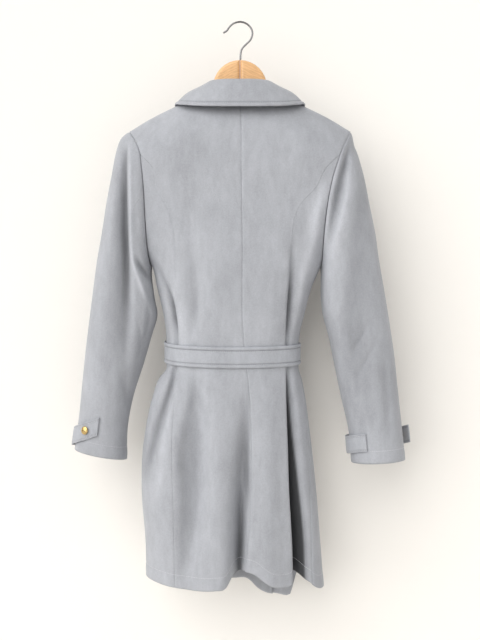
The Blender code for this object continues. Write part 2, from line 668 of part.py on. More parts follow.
# ---------------------------------------------------------------- collar
def neck_base(place):
    """Point of the neck edge at a place along the collar, a little above the cloth."""
    if place <= COLLAR_SIDE:
        across = NECK_X * math.sin(math.pi / 2 * place / COLLAR_SIDE)
        height = -128.0 - NECK_DROP * (1 - (across / NECK_X) ** 2)
        facing = -1
    else:
        height = -128.0 - COLLAR_FRONT_DROP * (place - COLLAR_SIDE) / (1 - COLLAR_SIDE)
        across = float(front_edge_place(1, height))
        facing = 1
    turn = turn_at(across, height, facing)
    point = body_point(np.array(float(turn)), np.array(height))
    point[0] -= across / NECK_X
    point[2] += 0.8
    return point


def collar_line(place):
    """Control points of the collar's visible face at a place along it, neck to edge."""
    mirror = -1 if place < 0 else 1
    place = abs(place)
    base = neck_base(place)
    roll = np.array([smooth(COLLAR, place, c) for c in (1, 2, 3)])
    edge = np.array([smooth(COLLAR, place, c) for c in (4, 5, 6)])
    away = edge - roll
    away[2] = 0
    away = unit(away)
    up = np.array([0.0, 0.0, 1.0])
    middle = roll * 0.42 + edge * 0.58 + up * 5 + away * 3
    points = np.array([base, roll - away * 4.5 - up * 6, roll, roll + away * 7 - up * 3.5,
                       middle, edge])
    points[:, 0] *= mirror
    return points


def collar_point(place, part):
    """Point of the collar's face; part 0 is the neck seam, 0.4 the roll, 1 the edge."""
    points = collar_line(place)
    parts = (0.0, 0.22, 0.4, 0.55, 0.78, 1.0)
    table = [(p,) + tuple(point) for p, point in zip(parts, points)]
    return np.array([float(smooth(table, part, c)) for c in (1, 2, 3)])


def collar_grid(places, parts):
    outer = np.array([[collar_point(place, part) for place in places] for part in parts])
    inward = np.zeros_like(outer)
    step = 0.01
    for i, part in enumerate(parts):
        for j, place in enumerate(places):
            low, high = max(place - step, -1.0), min(place + step, 1.0)
            round_way = collar_point(high, part) - collar_point(low, part)
            down_way = (collar_point(place, min(part + step, 1.0))
                        - collar_point(place, max(part - step, 0.0)))
            inward[i, j] = unit(np.cross(round_way, down_way))
    return outer, inward


def collar_pieces(material):
    places = [i / 12 for i in range(-12, 13)]
    stand, stand_in = collar_grid(places, [0.0, 0.1, 0.2, 0.3, 0.36])
    add_wall("collar_stand", stand, stand_in, CLOTH, material)
    fall, fall_in = collar_grid(places, [0.37, 0.44, 0.52, 0.62, 0.74, 0.87, 1.0])
    add_wall("collar_fall", fall, fall_in, CLOTH, material)


# ---------------------------------------------------------------- belt
# Upper edge of the belt: angle from the left side over the back, height
BELT_TILT = ((-180, -588), (-135, -595), (-90, -598), (-45, -596), (0, -592), (60, -590),
             (120, -588), (180, -588))


def belt_point(turn, drop, out):
    """Point of a band round the waist, at a drop below its upper edge."""
    degrees = (np.degrees(turn) + 180) % 360 - 180
    height = smooth(BELT_TILT, degrees) - drop
    point = body_point(turn, height, False)
    flat = point.copy()
    step = 0.01
    way = body_point(turn + step, height, False) - body_point(turn - step, height, False)
    normal = unit(np.stack([way[..., 1], -way[..., 0], 0 * way[..., 0]], axis=-1))
    return flat + normal * out, -normal


def belt_pieces(material):
    turn = np.linspace(-math.pi, math.pi, 49)[:-1]
    drops = np.array([0.0, BELT_WIDTH / 2, BELT_WIDTH])
    turn, drop = np.meshgrid(turn, drops)
    outer, inward = belt_point(turn, drop, BELT_STAND + FIRM_CLOTH)
    add_wall("belt", outer, inward, FIRM_CLOTH, material, ring=True)
    front_y = float(belt_point(np.array(math.pi / 2), np.array(19.0),
                               BELT_STAND + FIRM_CLOTH)[0][1])
    knot_z = float(smooth(BELT_TILT, 90)) - BELT_WIDTH / 2
    knot_x = float(belt_point(np.array(math.pi / 2), np.array(19.0), 0)[0][0])
    knot_half = (21.0, 8.0, 23.0)
    mesh = bmesh.new()
    bmesh.ops.create_cube(mesh, size=2 * METRES)
    knot_y = front_y + 3 * SEAM_GAP + knot_half[1]
    place = Matrix.Translation(Vector((knot_x, knot_y, knot_z)) * METRES)
    bmesh.ops.transform(mesh, verts=mesh.verts[:], matrix=place @ Matrix.Diagonal(
        (*knot_half, 1)))
    bmesh.ops.bevel(mesh, geom=mesh.edges[:], offset=5 * METRES, segments=3, affect="EDGES")
    add_object("belt_knot", mesh, material)
    for word, lean, length in (("left", -1, 262.0), ("right", 1, 236.0)):
        rows = []
        for part in np.linspace(0, 1, 9):
            z = knot_z - knot_half[2] - SEAM_GAP - length * part
            middle_x = knot_x + lean * (12 + 26 * part)
            x = middle_x + np.array([-18.5, 0.0, 18.5])
            front = [float(body_point(np.array(float(turn_at(v, z, 1.0))), np.array(z), False)[1])
                     for v in x]
            near_knot = 1 - float(ease(part, 0.0, 0.35))
            y = max(front) + 4.0 + (knot_y - max(front) - 4.0) * near_knot
            y += (2.2 if lean > 0 else -2.2) * near_knot + (3.0 if lean > 0 else 0.0)
            point_drop = np.array([0.0, 14.0, 0.0]) * part
            rows.append([(x[i], y + (1.5 if i == 1 else 0), z - point_drop[i]) for i in range(3)])
        outer = np.array(rows)
        inward = np.zeros_like(outer)
        inward[..., 1] = -1
        add_wall("belt_end_" + word, outer, inward, FIRM_CLOTH, material)


# ---------------------------------------------------------------- cuff straps and buttons
# Cuff straps: turn round the sleeve in degrees, height of the middle, stand off the sleeve
STRAP_LEFT = ((88, -742, 1.0), (60, -750, 1.2), (30, -758, 3.0), (0, -765, 5.5),
              (-45, -769, 2.5), (-90, -771, 1.2), (-135, -772, 1.2), (-172, -772, 1.2))
STRAP_RIGHT = ((118, -771, 1.2), (140, -774, 1.2), (160, -777, 3.0), (180, -779, 5.5),
               (225, -779, 2.5), (270, -776, 1.2), (315, -770, 4.0), (340, -765, 11.0),
               (352, -762, 14.0))


def sleeve_at_height(side, turn, height):
    """Place along the sleeve where its surface reaches a height."""
    turn, height = np.broadcast_arrays(turn, height)
    low, high = np.full(turn.shape, 0.4), np.ones(turn.shape)
    for _ in range(16):
        middle = (low + high) / 2
        above = sleeve_point(side, turn, middle)[..., 2] > height
        low, high = np.where(above, middle, low), np.where(above, high, middle)
    return (low + high) / 2


def strap_grid(side, table):
    """Outer points of a cuff strap and the way into it, from its end tab to its seam."""
    degrees = np.linspace(table[0][0], table[-1][0], 17)
    drops = np.array([-0.5, -0.17, 0.17, 0.5]) * STRAP_WIDTH
    degrees, drop = np.meshgrid(degrees, drops)
    turn = np.radians(degrees)
    nearest = sleeve_at_height(side, turn, smooth(table, degrees, 1) - drop)
    way = sleeve_outward(side, turn, np.minimum(nearest, 0.985))
    stand = smooth(table, degrees, 2)[..., None]
    return sleeve_point(side, turn, nearest) + way * (stand + CLOTH), -way


def add_button(name, point, way, material):
    """Domed metal button, turned about its own axis and set with its back on the cloth."""
    radius = BUTTON_RADIUS
    profile = [(0.0, 4.6), (radius * 0.45, 4.3), (radius * 0.8, 3.5), (radius * 0.96, 2.6),
               (radius, 1.8), (radius * 0.9, 1.0), (radius * 0.5, 0.6), (radius * 0.3, 0.0),
               (0.0, 0.0)]
    mesh = bmesh.new()
    corners = [mesh.verts.new(Vector((x, 0, z)) * METRES) for x, z in profile]
    for first, second in zip(corners, corners[1:]):
        mesh.edges.new((first, second))
    bmesh.ops.spin(mesh, geom=mesh.verts[:] + mesh.edges[:], cent=(0, 0, 0), axis=(0, 0, 1),
                   angle=2 * math.pi, steps=16, use_merge=True)
    bmesh.ops.remove_doubles(mesh, verts=mesh.verts[:], dist=1e-5)
    bmesh.ops.recalc_face_normals(mesh, faces=mesh.faces[:])
    turn = Vector((0, 0, 1)).rotation_difference(Vector(way)).to_matrix().to_4x4()
    place = Matrix.Translation(Vector(point) * METRES) @ turn
    bmesh.ops.transform(mesh, matrix=place, verts=mesh.verts[:])
    return add_object(name, mesh, material)


def cuff_pieces(cloth, metal):
    for side, table, word, turn, middle, lift in (
            (-1, STRAP_LEFT, "left", 59.0, -749.0, 1.2 + CLOTH + SEAM_GAP + 0.3),
            (1, STRAP_RIGHT, "right", 339.0, -765.0, SEAM_GAP + 0.5)):
        outer, inward = strap_grid(side, table)
        add_wall("cuff_strap_" + word, outer, inward, CLOTH, cloth)
        turn = math.radians(turn)
        nearest = sleeve_at_height(side, turn, middle)
        point = sleeve_point(side, np.array(turn), nearest)
        way = sleeve_outward(side, np.array(turn), nearest)
        add_button("cuff_button_" + word, point + way * lift, way, metal)


# ---------------------------------------------------------------- hanger
def flat_outline(name, points, thickness, edge, material):
    """A board cut to an outline that lies in the XZ plane, with rounded edges."""
    curve = bpy.data.curves.new(name, "CURVE")
    curve.dimensions = "2D"
    curve.fill_mode = "BOTH"
    curve.extrude = (thickness / 2 - edge) * METRES
    curve.bevel_depth = edge * METRES
    curve.bevel_resolution = 2
    curve.offset = -edge * METRES
    spline = curve.splines.new("POLY")
    spline.points.add(len(points) - 1)
    for target, (x, z) in zip(spline.points, points):
        target.co = (x * METRES, z * METRES, 0, 1)
    spline.use_cyclic_u = True
    made = bpy.data.objects.new(name, curve)
    made.rotation_euler = (math.pi / 2, 0, 0)
    curve.materials.append(material)
    collection.objects.link(made)
    return made


def hanger_half(side, material):
    """Half of the hanger: half of the round head and the arm under one shoulder."""
    clear = CLOTH + 2.1
    head = []
    for step in range(9):
        angle = math.radians(90 - step * 90 / 8)
        head.append((HEAD_RADIUS * math.cos(angle), HEAD_CENTRE_Z + HEAD_RADIUS * math.sin(angle)))
    top = [(HEAD_RADIUS + 0.5, -129.0), (HEAD_RADIUS + 5.5, -132.2)]
    for x in (65.0, 90.0, 115.0, 140.0, 165.0, 180.0):
        slope = (shoulder_height(x + 1) - shoulder_height(x - 1)) / 2
        top.append((x, float(shoulder_height(x)) - clear * math.sqrt(1 + slope**2)))
    end_z = float(shoulder_height(190.0)) - clear * 1.15
    tip = [(189.0, end_z - 0.5), (194.0, end_z - 8.0), (192.0, end_z - 18.0)]
    under = [(176.0, end_z - 19.0), (120.0, -185.0), (60.0, -168.0), (0.3, -163.0)]
    head[0] = (0.3, head[0][1])
    outline = [(side * x, z) for x, z in head + top + tip + under]
    if side > 0:
        outline.reverse()
    word = "left" if side < 0 else "right"
    flat_outline("hanger_half_" + word, outline, WOOD_THICKNESS, WOOD_EDGE, material)


def hanger_hook(material):
    """Bent steel wire; its foot sits on top of the wooden head."""
    curve = bpy.data.curves.new("hanger_hook", "CURVE")
    curve.dimensions = "3D"
    curve.bevel_depth = HOOK_WIRE / 2 * METRES
    curve.bevel_resolution = 2
    curve.use_fill_caps = True
    spline = curve.splines.new("POLY")
    rows = [(i,) + row for i, row in enumerate(HOOK_ROUTE)]
    places = np.linspace(0, len(rows) - 1, 34)
    route = [(float(smooth(rows, p, 1)), float(smooth(rows, p, 2))) for p in places]
    spline.points.add(len(route) - 1)
    for target, (x, z) in zip(spline.points, route):
        target.co = (x * METRES, 0, z * METRES, 1)
    made = bpy.data.objects.new("hanger_hook", curve)
    curve.materials.append(material)
    collection.objects.link(made)


# ---------------------------------------------------------------- materials
def make_material(name, colour, roughness, metallic=0.0):
    material = bpy.data.materials.new(name)
    material.use_nodes = True
    shader = material.node_tree.nodes["Principled BSDF"]
    shader.inputs["Base Color"].default_value = (*colour, 1)
    shader.inputs["Roughness"].default_value = roughness
    shader.inputs["Metallic"].default_value = metallic
    return material


# Places of the columns of each panel, from its outer seam to its inner one
BACK_SHARES = {
    -1: (0, 0.12, 0.24, 0.36, 0.48, 0.6, 0.7, 0.78, 0.84, 0.89, 0.94, 1),
    1: (0, 0.1, 0.25, 0.42, 0.57, 0.7, 0.85, 1),
}
SIDE_SHARES = {-1: (0, 0.2, 0.4, 0.55, 0.7, 0.85, 1), 1: (0, 0.25, 0.45, 0.6, 0.72, 0.84, 0.92, 1)}

for old in list(bpy.data.objects):
    bpy.data.objects.remove(old, do_unlink=True)
collection = bpy.data.collections.new("trench_coat")
bpy.context.scene.collection.children.link(collection)

coat_cloth = make_material("coat_cloth", (0.62, 0.62, 0.64), 0.95)
pale_wood = make_material("pale_wood", (0.78, 0.55, 0.36), 0.5)
steel = make_material("steel", (0.62, 0.62, 0.63), 0.25, 1.0)
gold_metal = make_material("gold_metal", (0.86, 0.64, 0.28), 0.3, 1.0)

for side in (-1, 1):
    _, princess_top = back_panel(side, coat_cloth)
    side_back_panel(side, princess_top, coat_cloth)
    front_panel(side, coat_cloth)
    sleeve_panels(side, coat_cloth)
    hanger_half(side, pale_wood)
collar_pieces(coat_cloth)
belt_pieces(coat_cloth)
cuff_pieces(coat_cloth, gold_metal)
hanger_hook(steel)
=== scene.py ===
import math

import bpy
import numpy as np
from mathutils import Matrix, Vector


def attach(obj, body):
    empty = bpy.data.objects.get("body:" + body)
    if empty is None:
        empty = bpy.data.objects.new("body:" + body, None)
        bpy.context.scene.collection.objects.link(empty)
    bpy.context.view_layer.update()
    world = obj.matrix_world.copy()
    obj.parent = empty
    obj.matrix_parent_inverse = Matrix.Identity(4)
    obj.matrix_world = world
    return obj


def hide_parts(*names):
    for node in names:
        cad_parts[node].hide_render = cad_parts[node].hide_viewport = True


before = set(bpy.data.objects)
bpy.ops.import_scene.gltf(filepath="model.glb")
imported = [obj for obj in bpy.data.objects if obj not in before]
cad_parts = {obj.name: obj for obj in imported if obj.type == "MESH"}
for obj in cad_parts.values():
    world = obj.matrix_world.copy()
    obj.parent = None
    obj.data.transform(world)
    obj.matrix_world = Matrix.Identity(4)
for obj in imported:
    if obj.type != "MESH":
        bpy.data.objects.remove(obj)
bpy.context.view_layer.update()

# ---------------------------------------------------------------- camera, wall and light
# The coat hangs before a warm white wall, seen square from behind at the height of its waist.
# Soft daylight comes from the upper left; the wall shows its face only towards the camera.
PHOTO_DISTANCE = 1.6       # from the camera to the coat, in metres
PHOTO_HEIGHT = 1.184       # what the photo takes in there from top to bottom
PHOTO_CENTRE_Z = -0.5498
WALL_Y = 0.12
FLOOR_Z = -1.45
ROOM = 6.0                 # how far the wall and the floor reach to each side
WALL_TOP = 4.0
SENSOR_WIDTH = 36.0


def put(name, data):
    """A new object of the scene, made from its data."""
    made = bpy.data.objects.new(name, data)
    bpy.context.scene.collection.objects.link(made)
    return made


camera_data = bpy.data.cameras.new("photo_camera")
camera_data.sensor_width = SENSOR_WIDTH
camera_data.lens = SENSOR_WIDTH * PHOTO_DISTANCE / PHOTO_HEIGHT
camera = put("photo_camera", camera_data)
camera.location = (0.0, -PHOTO_DISTANCE, PHOTO_CENTRE_Z)
camera.rotation_euler = (math.pi / 2, 0.0, 0.0)
bpy.context.scene.camera = camera


def feed(tree, socket, value):
    """Gives an input its value, or links it to the output that makes its value."""
    if isinstance(value, bpy.types.NodeSocket):
        tree.links.new(value, socket)
    else:
        socket.default_value = value


def set_inputs(tree, node, **values):
    """Feeds the inputs of a node by their names."""
    for name, value in values.items():
        feed(tree, node.inputs[name.replace("_", " ")], value)
    return node


def add_node(tree, kind, **values):
    return set_inputs(tree, tree.nodes.new("ShaderNode" + kind), **values)


def new_material(name):
    """A material, its node tree and its Principled shader."""
    material = bpy.data.materials.new(name)
    material.use_nodes = True
    tree = material.node_tree
    return material, tree, tree.nodes["Principled BSDF"]


def add_mesh(name, points, faces, material):
    """A new object with a mesh of one material."""
    data = bpy.data.meshes.new(name)
    data.from_pydata(points, [], faces)
    data.materials.append(material)
    return put(name, data)


def add_plane(name, corners, material):
    plane = add_mesh(name, corners, [(0, 1, 2, 3)], material)


wall_paint, tree, shader = new_material("wall_paint")
set_inputs(tree, shader, Base_Color=(0.87, 0.85, 0.815, 1), Roughness=0.9)
seen = add_node(tree, "NewGeometry").outputs["Backfacing"]
choose = add_node(tree, "MixShader", Fac=seen)
feed(tree, choose.inputs[1], shader.outputs["BSDF"])
feed(tree, choose.inputs[2], add_node(tree, "BsdfTransparent").outputs["BSDF"])
set_inputs(tree, tree.nodes["Material Output"], Surface=choose.outputs["Shader"])
add_plane("wall", [(-ROOM, WALL_Y, FLOOR_Z), (ROOM, WALL_Y, FLOOR_Z), (ROOM, WALL_Y, WALL_TOP),
                   (-ROOM, WALL_Y, WALL_TOP)], wall_paint)

floor_paint, tree, shader = new_material("floor_paint")
set_inputs(tree, shader, Base_Color=(0.9, 0.88, 0.85, 1), Roughness=0.8)
add_plane("floor", [(-ROOM, -ROOM, FLOOR_Z), (ROOM, -ROOM, FLOOR_Z), (ROOM, ROOM, FLOOR_Z),
                    (-ROOM, ROOM, FLOOR_Z)], floor_paint)

# Direction that each light comes from, how far its source spreads in degrees, strength, colour
LIGHTS = (
    ("window_light", (-1.0, -1.15, 0.8), 70.0, 2.6, (1.0, 0.985, 0.965)),
    ("room_light", (0.5, -1.2, 0.5), 70.0, 0.45, (1.0, 0.98, 0.95)),
    ("far_side_light", (0.5, 1.0, 0.5), 40.0, 1.6, (1.0, 0.98, 0.96)),
)
for name, way, spread, strength, colour in LIGHTS:
    lamp_data = bpy.data.lights.new(name, "SUN")
    lamp_data.angle = math.radians(spread)
    lamp_data.energy = strength
    lamp_data.color = colour
    lamp = put(name, lamp_data)
    lamp.location = Vector(way) * 2
    lamp.rotation_euler = (-Vector(way)).to_track_quat("-Z", "Y").to_euler()
world = bpy.data.worlds.new("room")
world.use_nodes = True
set_inputs(world.node_tree, world.node_tree.nodes["Background"], Color=(0.985, 0.99, 1.0, 1),
           Strength=0.38)
bpy.context.scene.world = world
bpy.context.scene.view_settings.view_transform = "Standard"

# ---------------------------------------------------------------- back
# Two panels of light grey cloth with a brushed suede face, a little under two millimetres
# thick. A plain pressed seam joins them down the middle of the back; the hem is turned up
# and stitched once.
CLOTH = 0.0017
METRES = 0.001
NECK_X = 62.0
NECK_Z = -128.0
NECK_DROP = 17.0           # how far the neck edge dips in the middle of the back
SHOULDER_ROUNDING = 90.0   # how far below the shoulder the body has its whole depth
FULLNESS = 2.4             # 2 gives the body an elliptic section, more a squarer one
UNDERARM_Z = -452.0
SKIRT_Z = -655.0           # below it the rows of the grids turn to the hem's waves
HEM_LEVEL_Z = -1030.0
PRINCESS_SHARE = 0.3       # share of the way round the armhole where a princess seam starts
HEM_STITCH = 23.0          # from the hem's edge up to its row of stitches
HEM_PRESS = 0.75           # how deep that row lies in the cloth
HEM_SWELL = 0.4            # how far the turned hem stands out below it
SEAM_ROLL = 1.6            # how far from a seam the cloth starts to roll in
SIDES = ((-1, "left"), (1, "right"))
# Height, left extent, right extent, depth of the back, depth of the front
BODY = (
    (-120, -330, 330, 40, 38), (-200, -300, 300, 50, 46), (-260, -266, 262, 58, 52),
    (-320, -236, 222, 60, 58), (-380, -205, 188, 63, 61), (-420, -180, 164, 65, 62),
    (-452, -162, 149, 66, 62), (-490, -153, 132, 66, 62), (-542, -141, 118, 66, 61),
    (-580, -136, 109.5, 65, 59), (-600, -136, 108.4, 65, 58), (-625, -136, 108.4, 65, 58),
    (-640, -136.2, 108.4, 65, 58), (-655, -148, 113, 67, 60), (-690, -161, 120, 70, 60),
    (-749, -174, 128, 74, 60), (-808, -181, 135, 76, 58), (-868, -181, 141, 77, 56),
    (-957, -174, 148, 79, 53), (-1020, -173, 153, 80, 50), (-1080, -173, 160, 80, 50))
SHOULDER = ((0, -126), (62, -128), (120, -155.5), (165, -178), (205, -202), (330, -262))
# Armhole and princess seams of the left side, -1, and the right, 1: height, place across.
# The armhole's place is counted out from the middle.
ARMHOLE = {
    -1: (
        (-202, 204.5), (-224, 190.4), (-246, 181), (-278, 176), (-313, 173), (-375, 170),
        (-420, 167.5), (-444, 164.4), (-452, 162)),
    1: (
        (-202, 204.5), (-238, 186.2), (-275, 171.7), (-309, 162.4), (-343, 155.9), (-382, 151.6),
        (-408, 150.2), (-436, 149.8), (-452, 149)),
}
CENTRE_BACK = (
    (-140, 0), (-171, 1.8), (-265, 2.7), (-390, 4.4), (-594, 7.6), (-635, 11.9), (-691, 17.7),
    (-780, 20.7), (-867, 19.4), (-972, 10.7), (-1030, 5.4))
PRINCESS = {
    -1: (
        (-250, -172), (-317, -152), (-350, -132), (-390, -121), (-473, -115.6), (-587, -110.2),
        (-633, -112.7), (-745, -120.9), (-905, -118.3), (-1030, -116)),
    1: (
        (-250, 172), (-312, 136.8), (-345, 106.7), (-366, 97.7), (-420, 92.4), (-502, 88.7),
        (-587, 84), (-633, 85), (-700, 85.5), (-780, 89), (-850, 92), (-950, 98), (-1030, 100)),
}
SIDE_SEAM = ((-452, 0, 0), (-600, 2, 10), (-713, 4, 16.6), (-842, 6, 27), (-1013, 6, 35))
HEM_BACK = (
    (-173, -1016.5), (-162, -1018), (-132, -1023), (-88, -1027), (-44, -1025), (-26, -1021.5),
    (-11.7, -1003), (0, -999.6), (12.6, -995), (28.4, -1000), (40.6, -1010), (56, -1019.7),
    (72, -1022.3), (88, -1020.6), (97, -1015), (106, -1003), (114, -1006), (119, -1014),
    (126, -1021), (135, -1028), (144, -1034.5), (157, -1036.6))
HEM_FRONT = (
    (-173, -1016.5), (-120, -1031), (-60, -1036), (-13, -1039), (18, -1043), (31, -1057),
    (46, -1066), (67, -1069), (86, -1069), (96, -1063), (105, -1038), (113, -1014), (126, -1019),
    (135, -1027), (157, -1036.6))
# Folds. Each row: height, place across, depth (a ridge is negative), reach left and right
FOLDS_BACK = {
    "side_valley_left": (
        (-445, -153, 0, 5, 7), (-470, -144, 6, 7, 7), (-505, -129, 11, 9, 6),
        (-546, -120, 13, 8, 4.5), (-578, -116, 9, 5, 4), (-634, -118, 6, 4, 4),
        (-656, -122, 10, 6, 4), (-686, -129, 11, 8, 6), (-727, -143, 10, 9, 9),
        (-767, -158, 7, 9, 11), (-815, -171, 3, 9, 12), (-850, -177, 0, 9, 12)),
    "soft_valley_left": (
        (-300, -94, 0, 14, 14), (-443, -83.4, 6, 14, 14), (-550, -83.2, 7, 13, 13),
        (-590, -83.2, 2, 10, 10), (-634, -82, 2, 10, 10), (-691, -75, 9, 14, 14),
        (-760, -71, 14, 17, 15), (-815, -72, 16, 18, 15), (-910, -78, 14, 18, 16),
        (-970, -88, 8, 18, 16), (-1030, -98, 3, 18, 18)),
    "centre_valley": (
        (-634, 6, 0, 6, 6), (-680, 7, 1.5, 9, 7), (-720, 8, 4, 11, 7), (-767, 7, 10, 13, 8),
        (-815, 6, 19, 14, 9), (-870, 4, 29, 15, 9), (-940, 2, 36, 15, 9), (-1030, -1, 38, 15, 8)),
    "right_valley": (
        (-400, 97, 0, 6, 10), (-440, 95, 6, 5, 10), (-480, 93, 11, 4.5, 10),
        (-520, 91, 14, 4.5, 9), (-560, 88.5, 12, 4, 7), (-590, 86.5, 7, 3.5, 5),
        (-634, 88, 7, 4, 5), (-700, 91, 19, 5, 7), (-780, 95.5, 32, 6, 9),
        (-850, 98.5, 41, 6.5, 10), (-950, 105.5, 46, 7.5, 10.5), (-1030, 107.5, 46, 7.5, 10.5)),
    "ridge_right": (
        (-290, 165, 0, 14, 10), (-340, 150, -4, 14, 12), (-420, 130, -5, 13, 12),
        (-514, 107, -5, 9, 12), (-575, 97, 0, 7, 10)),
    "flute_left": (
        (-640, -36, 0, 24, 20), (-740, -36, -4, 26, 20), (-900, -38, -6, 30, 20),
        (-1030, -40, -6, 34, 20)),
    "flute_right": (
        (-640, 46, 0, 20, 20), (-740, 48, -3, 18, 20), (-900, 50, -6, 20, 22),
        (-1030, 52, -6, 20, 24)),
}
FOLDS_FRONT = {
    "front_valley_left": (
        (-634, -96, 0, 10, 10), (-740, -104, 9, 14, 12), (-900, -116, 16, 16, 13),
        (-1080, -120, 16, 16, 13)),
    "front_valley_middle": (
        (-634, -28, 0, 10, 10), (-760, -32, 8, 13, 15), (-920, -36, 15, 15, 17),
        (-1080, -38, 15, 15, 17)),
    "front_valley_right": (
        (-634, 74, 0, 10, 10), (-740, 82, 10, 12, 14), (-900, 94, 18, 13, 16),
        (-1080, 98, 18, 13, 16)),
    "chest_valley_left": (
        (-330, -118, 0, 12, 12), (-460, -104, 6, 13, 13), (-590, -92, 2, 9, 9),
        (-632, -92, 0, 9, 9)),
    "chest_valley_right": (
        (-330, 112, 0, 12, 12), (-460, 92, 6, 13, 13), (-590, 76, 2, 9, 9), (-632, 76, 0, 9, 9)),
}


def smooth(table, place, column=1):
    """Value of a table's column at a place, along a smooth curve through its rows."""
    rows = np.array(table, dtype=float)
    order = np.argsort(rows[:, 0])
    at, value = rows[order, 0], rows[order, column]
    slope = np.gradient(value, at)
    place = np.clip(np.asarray(place, dtype=float), at[0], at[-1])
    low = np.clip(np.searchsorted(at, place) - 1, 0, len(at) - 2)
    span = at[low + 1] - at[low]
    t = (place - at[low]) / span
    return ((2 * t**3 - 3 * t**2 + 1) * value[low] + (t**3 - 2 * t**2 + t) * span * slope[low]
            + (3 * t**2 - 2 * t**3) * value[low + 1] + (t**3 - t**2) * span * slope[low + 1])


def ease(value, start, end):
    t = np.clip((value - start) / (end - start), 0.0, 1.0)
    return t * t * (3 - 2 * t)


def unit(vectors):
    length = np.linalg.norm(vectors, axis=-1, keepdims=True)
    return vectors / np.maximum(length, 1e-9)


def bell(distance, reach):
    """1 at a line, softly down to 0 on both sides of it."""
    return np.exp(-(distance / reach) ** 2)


def fold_depth(folds, across, height):
    """Sum of the folds at a place, positive where the cloth goes in."""
    total = 0.0
    for rows in folds.values():
        last, first = rows[-1], rows[0]
        centre = smooth(rows, height, 1)
        depth = smooth(rows, height, 2)
        reach = np.where(across < centre, smooth(rows, height, 3), smooth(rows, height, 4))
        seen = (height <= first[0]) & ((height >= last[0]) | (last[2] != 0))
        total = total + np.where(seen, depth, 0.0) * bell(across - centre, reach)
    return total


def shoulder_height(across):
    return smooth(SHOULDER, np.abs(across))


def shoulder_rise(drop):
    part = np.clip(drop / SHOULDER_ROUNDING, 0.0, 1.0)
    return np.sin(part * math.pi / 2) ** 0.7


def side_extents(height):
    return smooth(BODY, height, 1), smooth(BODY, height, 2)


def turn_at(across, height, facing):
    """Angle round the body of a place across it; facing is -1 on the back, 1 on the front."""
    left, right = side_extents(height)
    ratio = np.clip((across - (left + right) / 2) / ((right - left) / 2), -1, 1)
    rise = (1 - np.abs(ratio) ** FULLNESS) ** (1 / FULLNESS)
    return np.arctan2(facing * rise, ratio)


def body_point(turn, height, folded=True):
    """Point of the coat's outer face at an angle round the body and a height."""
    left, right = side_extents(height)
    middle, half = (left + right) / 2, (right - left) / 2
    cosine, sine = np.cos(turn), np.sin(turn)
    depth = np.where(sine < 0, smooth(BODY, height, 3), smooth(BODY, height, 4))
    scale = (np.abs(cosine) ** FULLNESS + np.abs(sine) ** FULLNESS) ** (-1 / FULLNESS)
    across = middle + half * scale * cosine
    open_part = shoulder_rise(shoulder_height(across) - height)
    through = depth * scale * sine * open_part
    if folded:
        back_folds = fold_depth(FOLDS_BACK, across, height)
        front_folds = fold_depth(FOLDS_FRONT, across, height)
        push = np.where(sine < 0, back_folds, front_folds) * np.abs(sine) ** 0.5 * open_part
        steep = FULLNESS - 1
        normal_x = np.sign(cosine) * np.abs(scale * cosine) ** steep / half
        normal_y = np.sign(sine) * np.abs(scale * sine) ** steep / depth
        length = np.hypot(normal_x, normal_y)
        across = across - push * normal_x / length
        through = through - push * normal_y / length
    return np.stack([across, through, height + 0 * turn], axis=-1)


def row_height(part, across, facing):
    """Height of a row below the underarm; part runs from 0 there to 1 at the hem."""
    level = UNDERARM_Z + (HEM_LEVEL_Z - UNDERARM_Z) * part
    hem = np.where(np.asarray(facing) < 0, smooth(HEM_BACK, across), smooth(HEM_FRONT, across))
    skirt = np.clip((level - SKIRT_Z) / (HEM_LEVEL_Z - SKIRT_Z), 0, 1)
    return np.where(level > SKIRT_Z, level, SKIRT_Z + (hem - SKIRT_Z) * skirt)


def side_seam_turn(side, height):
    back = np.radians(smooth(SIDE_SEAM, height, 1 if side < 0 else 2))
    return -math.pi + back if side < 0 else -back


def seam_place(seam, part):
    """Angle and height of a back seam or, for -1 and 1, of a side seam along its rows."""
    height = UNDERARM_Z + (HEM_LEVEL_Z - UNDERARM_Z) * part
    for _ in range(5):
        if isinstance(seam, int):
            turn = side_seam_turn(seam, height)
            across = body_point(turn, height, False)[..., 0]
        else:
            across = smooth(seam, height)
        height = row_height(part, across, -1)
    if not isinstance(seam, int):
        turn = turn_at(across, height, -1)
    return turn, height


def armhole_place(side, turn):
    """Across and height of the armhole seam; turn 0 is the shoulder, pi the underarm."""
    table = ARMHOLE[side]
    share = (1 - np.cos(turn)) / 2
    height = table[0][0] + (table[-1][0] - table[0][0]) * share
    return side * smooth(table, height), height


def seam_columns(count, width):
    """Places of a grid's columns from 0 to 1, with close ones beside the sewn edges."""
    near = np.array([0.0, 0.7, 1.5, 2.8]) / width
    middle = np.linspace(near[-1], 1 - near[-1], count)
    return np.concatenate([near, middle[1:-1], 1 - near[::-1]])


def seam_dip(shares, width, first=0.8, last=0.8):
    """How far the cloth rolls in beside its first and its last edge, for each column."""
    return (first * bell(shares * width, SEAM_ROLL)
            + last * bell((1 - shares) * width, SEAM_ROLL))


def grid_normals(points, away):
    """Normals of a grid, all turned to the side that away points to on the whole."""
    normal = unit(np.cross(np.gradient(points, axis=1), np.gradient(points, axis=0)))
    return normal * np.sign(np.sum(normal * unit(away)))


